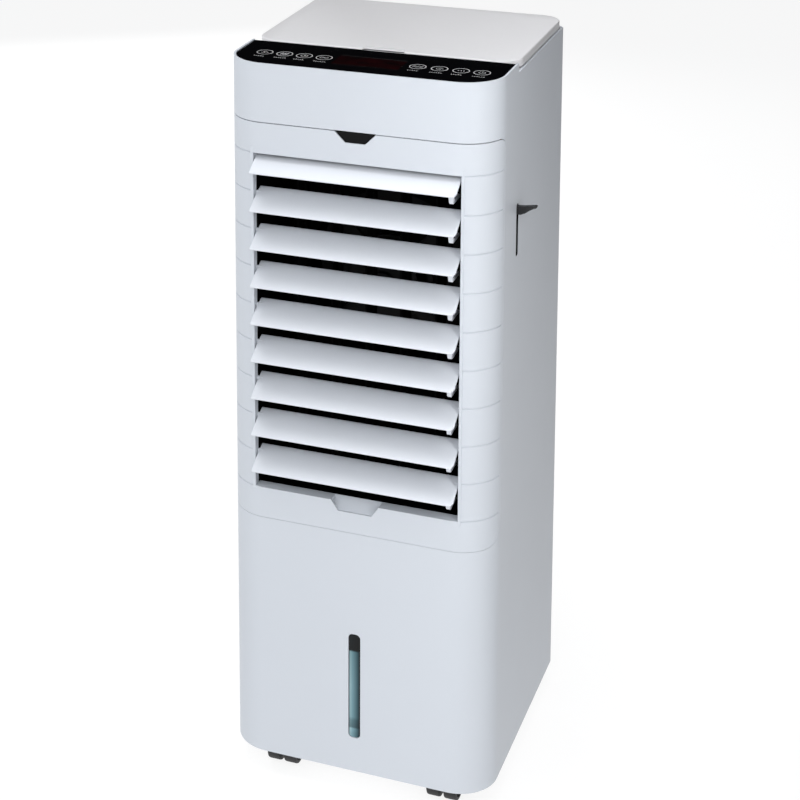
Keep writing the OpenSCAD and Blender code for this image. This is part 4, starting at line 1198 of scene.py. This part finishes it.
def make_blower():
    """Double plate wheel with forward-curved blades."""
    low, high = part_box("blower_wheel")
    centre = (0, 0, (low.z + high.z) / 2)
    r, y0, y1 = (high.x - low.x) / 2, low.y, high.y
    back = turned("back_plate", [(4 * MM, y0), (r, y0), (r, y0 + 2.2 * MM), (40 * MM, y0 + 2.6 * MM),
                                 (16 * MM, y0 + 8 * MM), (12 * MM, y0 + 19.5 * MM), (4 * MM, y0 + 19.5 * MM)],
                  centre, "Y", 96)
    rim = turned("rim", [(r - 18 * MM, y1 - 3 * MM), (r, y1 - 3 * MM), (r, y1), (r - 20 * MM, y1)], centre, "Y", 96)
    curve = [(r - 19 * MM + 18 * MM * i / 8, 7.5 * MM * sin(pi * i / 8 * 0.9)) for i in range(9)]
    outline = [(u, v + 0.6 * MM) for u, v in curve] + [(u, v - 0.6 * MM) for u, v in reversed(curve)]
    blade = prism("blade", outline, y0 + 1 * MM, y1 - 1 * MM, "Y")
    smoothed(blade, 40)
    blades = copies_of("blades", blade, 36, centre, NO_MOVE, (0, 2 * pi / 36, 0), FAN_NEAR_BLACK_PAINTED_SHADE)
    for piece in (back, rim):
        smoothed(piece, 35)
    wheel = joined("blower_impeller", back, rim, blades)
    finished(wheel, "blower", "fan_plastic", FAN_NEAR_BLACK_PAINTED_SHADE, "blower_wheel")


# ------------------------------------------------------------------ build

make_cabinet_shell()
make_grille_frame()
make_receiver_window()
make_louvres()
make_louvre_link()
make_control_panel()
make_marks()
make_lid()
make_level_window()
make_side_lever()
for k in range(1, 5):
    make_wheels(k)
    refined(f"caster_yoke_{k}", 0.5 * MM, CASTER_BLACK)
make_rear_cover()
make_filter()
make_cooling_pad()
make_blower()
refined("top_deck", 0.4 * MM, LID_WHITE)
refined("base_pan", 0.4 * MM, BASE_GREY)
refined("drip_tray", 0.4 * MM, BASE_GREY)
refined("pad_frame", 0.3 * MM, BASE_GREY)
refined("distributor", 0.3 * MM, BASE_GREY)
refined("air_duct", 0.4 * MM, INNER_BLACK_AND_PAINTED_SHADE)
refined("blower_housing", 0.6 * MM, INNER_BLACK_AND_PAINTED_SHADE)
make_lever_guide()
refined("water_tank", 1.0 * MM, TANK_PLASTIC, segments=3)
refined("fan_motor", 0.8 * MM, STEEL_NEAR_BLACK_PAINTED_SHADE)
refined("motor_bracket", 0.4 * MM, STEEL_NEAR_BLACK_PAINTED_SHADE)
refined("swing_motor", 0.4 * MM, MOTOR_STEEL)
refined("fan_shaft", 0.3 * MM, ZINC)
refined("lid_pins", 0.15 * MM, ZINC)
refined("screws", 0.2 * MM, ZINC)
refined("cord_gland", 0.5 * MM, PUMP_BLACK)
refined("pump", 0.8 * MM, PUMP_BLACK)
refined("pump_impeller", 0.3 * MM, FAN_NEAR_BLACK_PAINTED_SHADE)
refined("water_hose", 0, MILKY_HOSE, angle=50)
refined("control_board", 0.2 * MM, CONTROL_GREEN)
refined("main_board", 0.2 * MM, MAIN_GREEN)
refined("vane_link", 0.2 * MM, INNER_BLACK_AND_PAINTED_SHADE)
for k in range(1, 6):
    refined(f"vane_{k}", 0.3 * MM, INNER_BLACK_AND_PAINTED_SHADE)

# ------------------------------------------------------------------ studio


def area_light(name, at, aim, size, power, color=(1, 1, 1)):
    data = bpy.data.lights.new(name, "AREA")
    data.shape = "RECTANGLE"
    data.size, data.size_y = size
    data.energy = power
    data.color = color
    lamp = placed(name, data)
    lamp.location = at
    lamp.rotation_euler = (Vector(aim) - Vector(at)).to_track_quat("-Z", "Y").to_euler()
    return lamp


def make_studio():
    scene = bpy.context.scene
    scene.view_settings.view_transform = "Standard"
    floor = block("floor", (-30, -30, -0.02), (30, 30, 0))
    mat, tree, shader, where = material("floor_pale")
    color = colour_steps(tree, noise(tree, where, 0.6), [(0.3, (0.195, 0.195, 0.195)), (0.7, (0.20, 0.20, 0.20))])
    wire(tree, [(color, shader.inputs["Base Color"])])
    shader.inputs["Roughness"].default_value = 0.9
    shader.inputs["Specular IOR Level"].default_value = 0.1
    shader.inputs["Emission Color"].default_value = (1, 1, 1, 1)
    # Painted shade: the floor's glow is bright near the cooler and dims to its right, so less light reaches the
    # cooler's right side and that part of the floor is darker.
    painted_dim_share = height_share(tree, where, 0.44, 1.4, "X")
    glow = colour_steps(tree, painted_dim_share, [(0.0, (0.85, 0.85, 0.85)), (0.6, (0.16, 0.16, 0.16)), (1.0, (0.20, 0.20, 0.20))])
    tree.links.new(glow, shader.inputs["Emission Strength"])
    floor.data.materials.append(mat)
    world = bpy.data.worlds.new("studio")
    scene.world = world
    world.use_nodes = True
    tree = world.node_tree
    where = tree.nodes.new("ShaderNodeTexCoord").outputs["Generated"]
    dot = tree.nodes.new("ShaderNodeVectorMath")
    dot.operation = "DOT_PRODUCT"
    dot.inputs[1].default_value = (-0.32, -0.83, 0.45)
    tree.links.new(where, dot.inputs[0])
    share = maths(tree, "ADD", maths(tree, "MULTIPLY", dot.outputs["Value"], 0.5), 0.5, True)
    sky = colour_steps(tree, share, [(0.0, (0.002, 0.002, 0.002)), (0.42, (0.006, 0.006, 0.0065)),
                                     (0.75, (0.42, 0.43, 0.45)), (1.0, (0.62, 0.64, 0.66))])
    tree.links.new(sky, tree.nodes["Background"].inputs["Color"])
    area_light("key", (0.5, -3.2, 2.5), (0, -0.1, 0.45), (1.6, 1.6), 37, (0.97, 0.985, 1.0))
    area_light("side", (-2.6, -1.2, 1.6), (0, 0, 0.45), (1.2, 1.2), 9, (0.97, 0.985, 1.0))
    area_light("top", (-0.2, -0.3, 2.9), (0, 0, 0.6), (1.4, 1.4), 30)
    area_light("edge", (0.46, -0.46, 0.62), (0.15, -0.14, 0.45), (0.12, 1.0), 1.7)
    rear = area_light("rear", (-1.8, 3.0, 0.8), (0, 0.1, 0.5), (1.2, 1.0), 30)
    rear.data.spread = radians(120)
    rear.visible_glossy = False


make_studio()
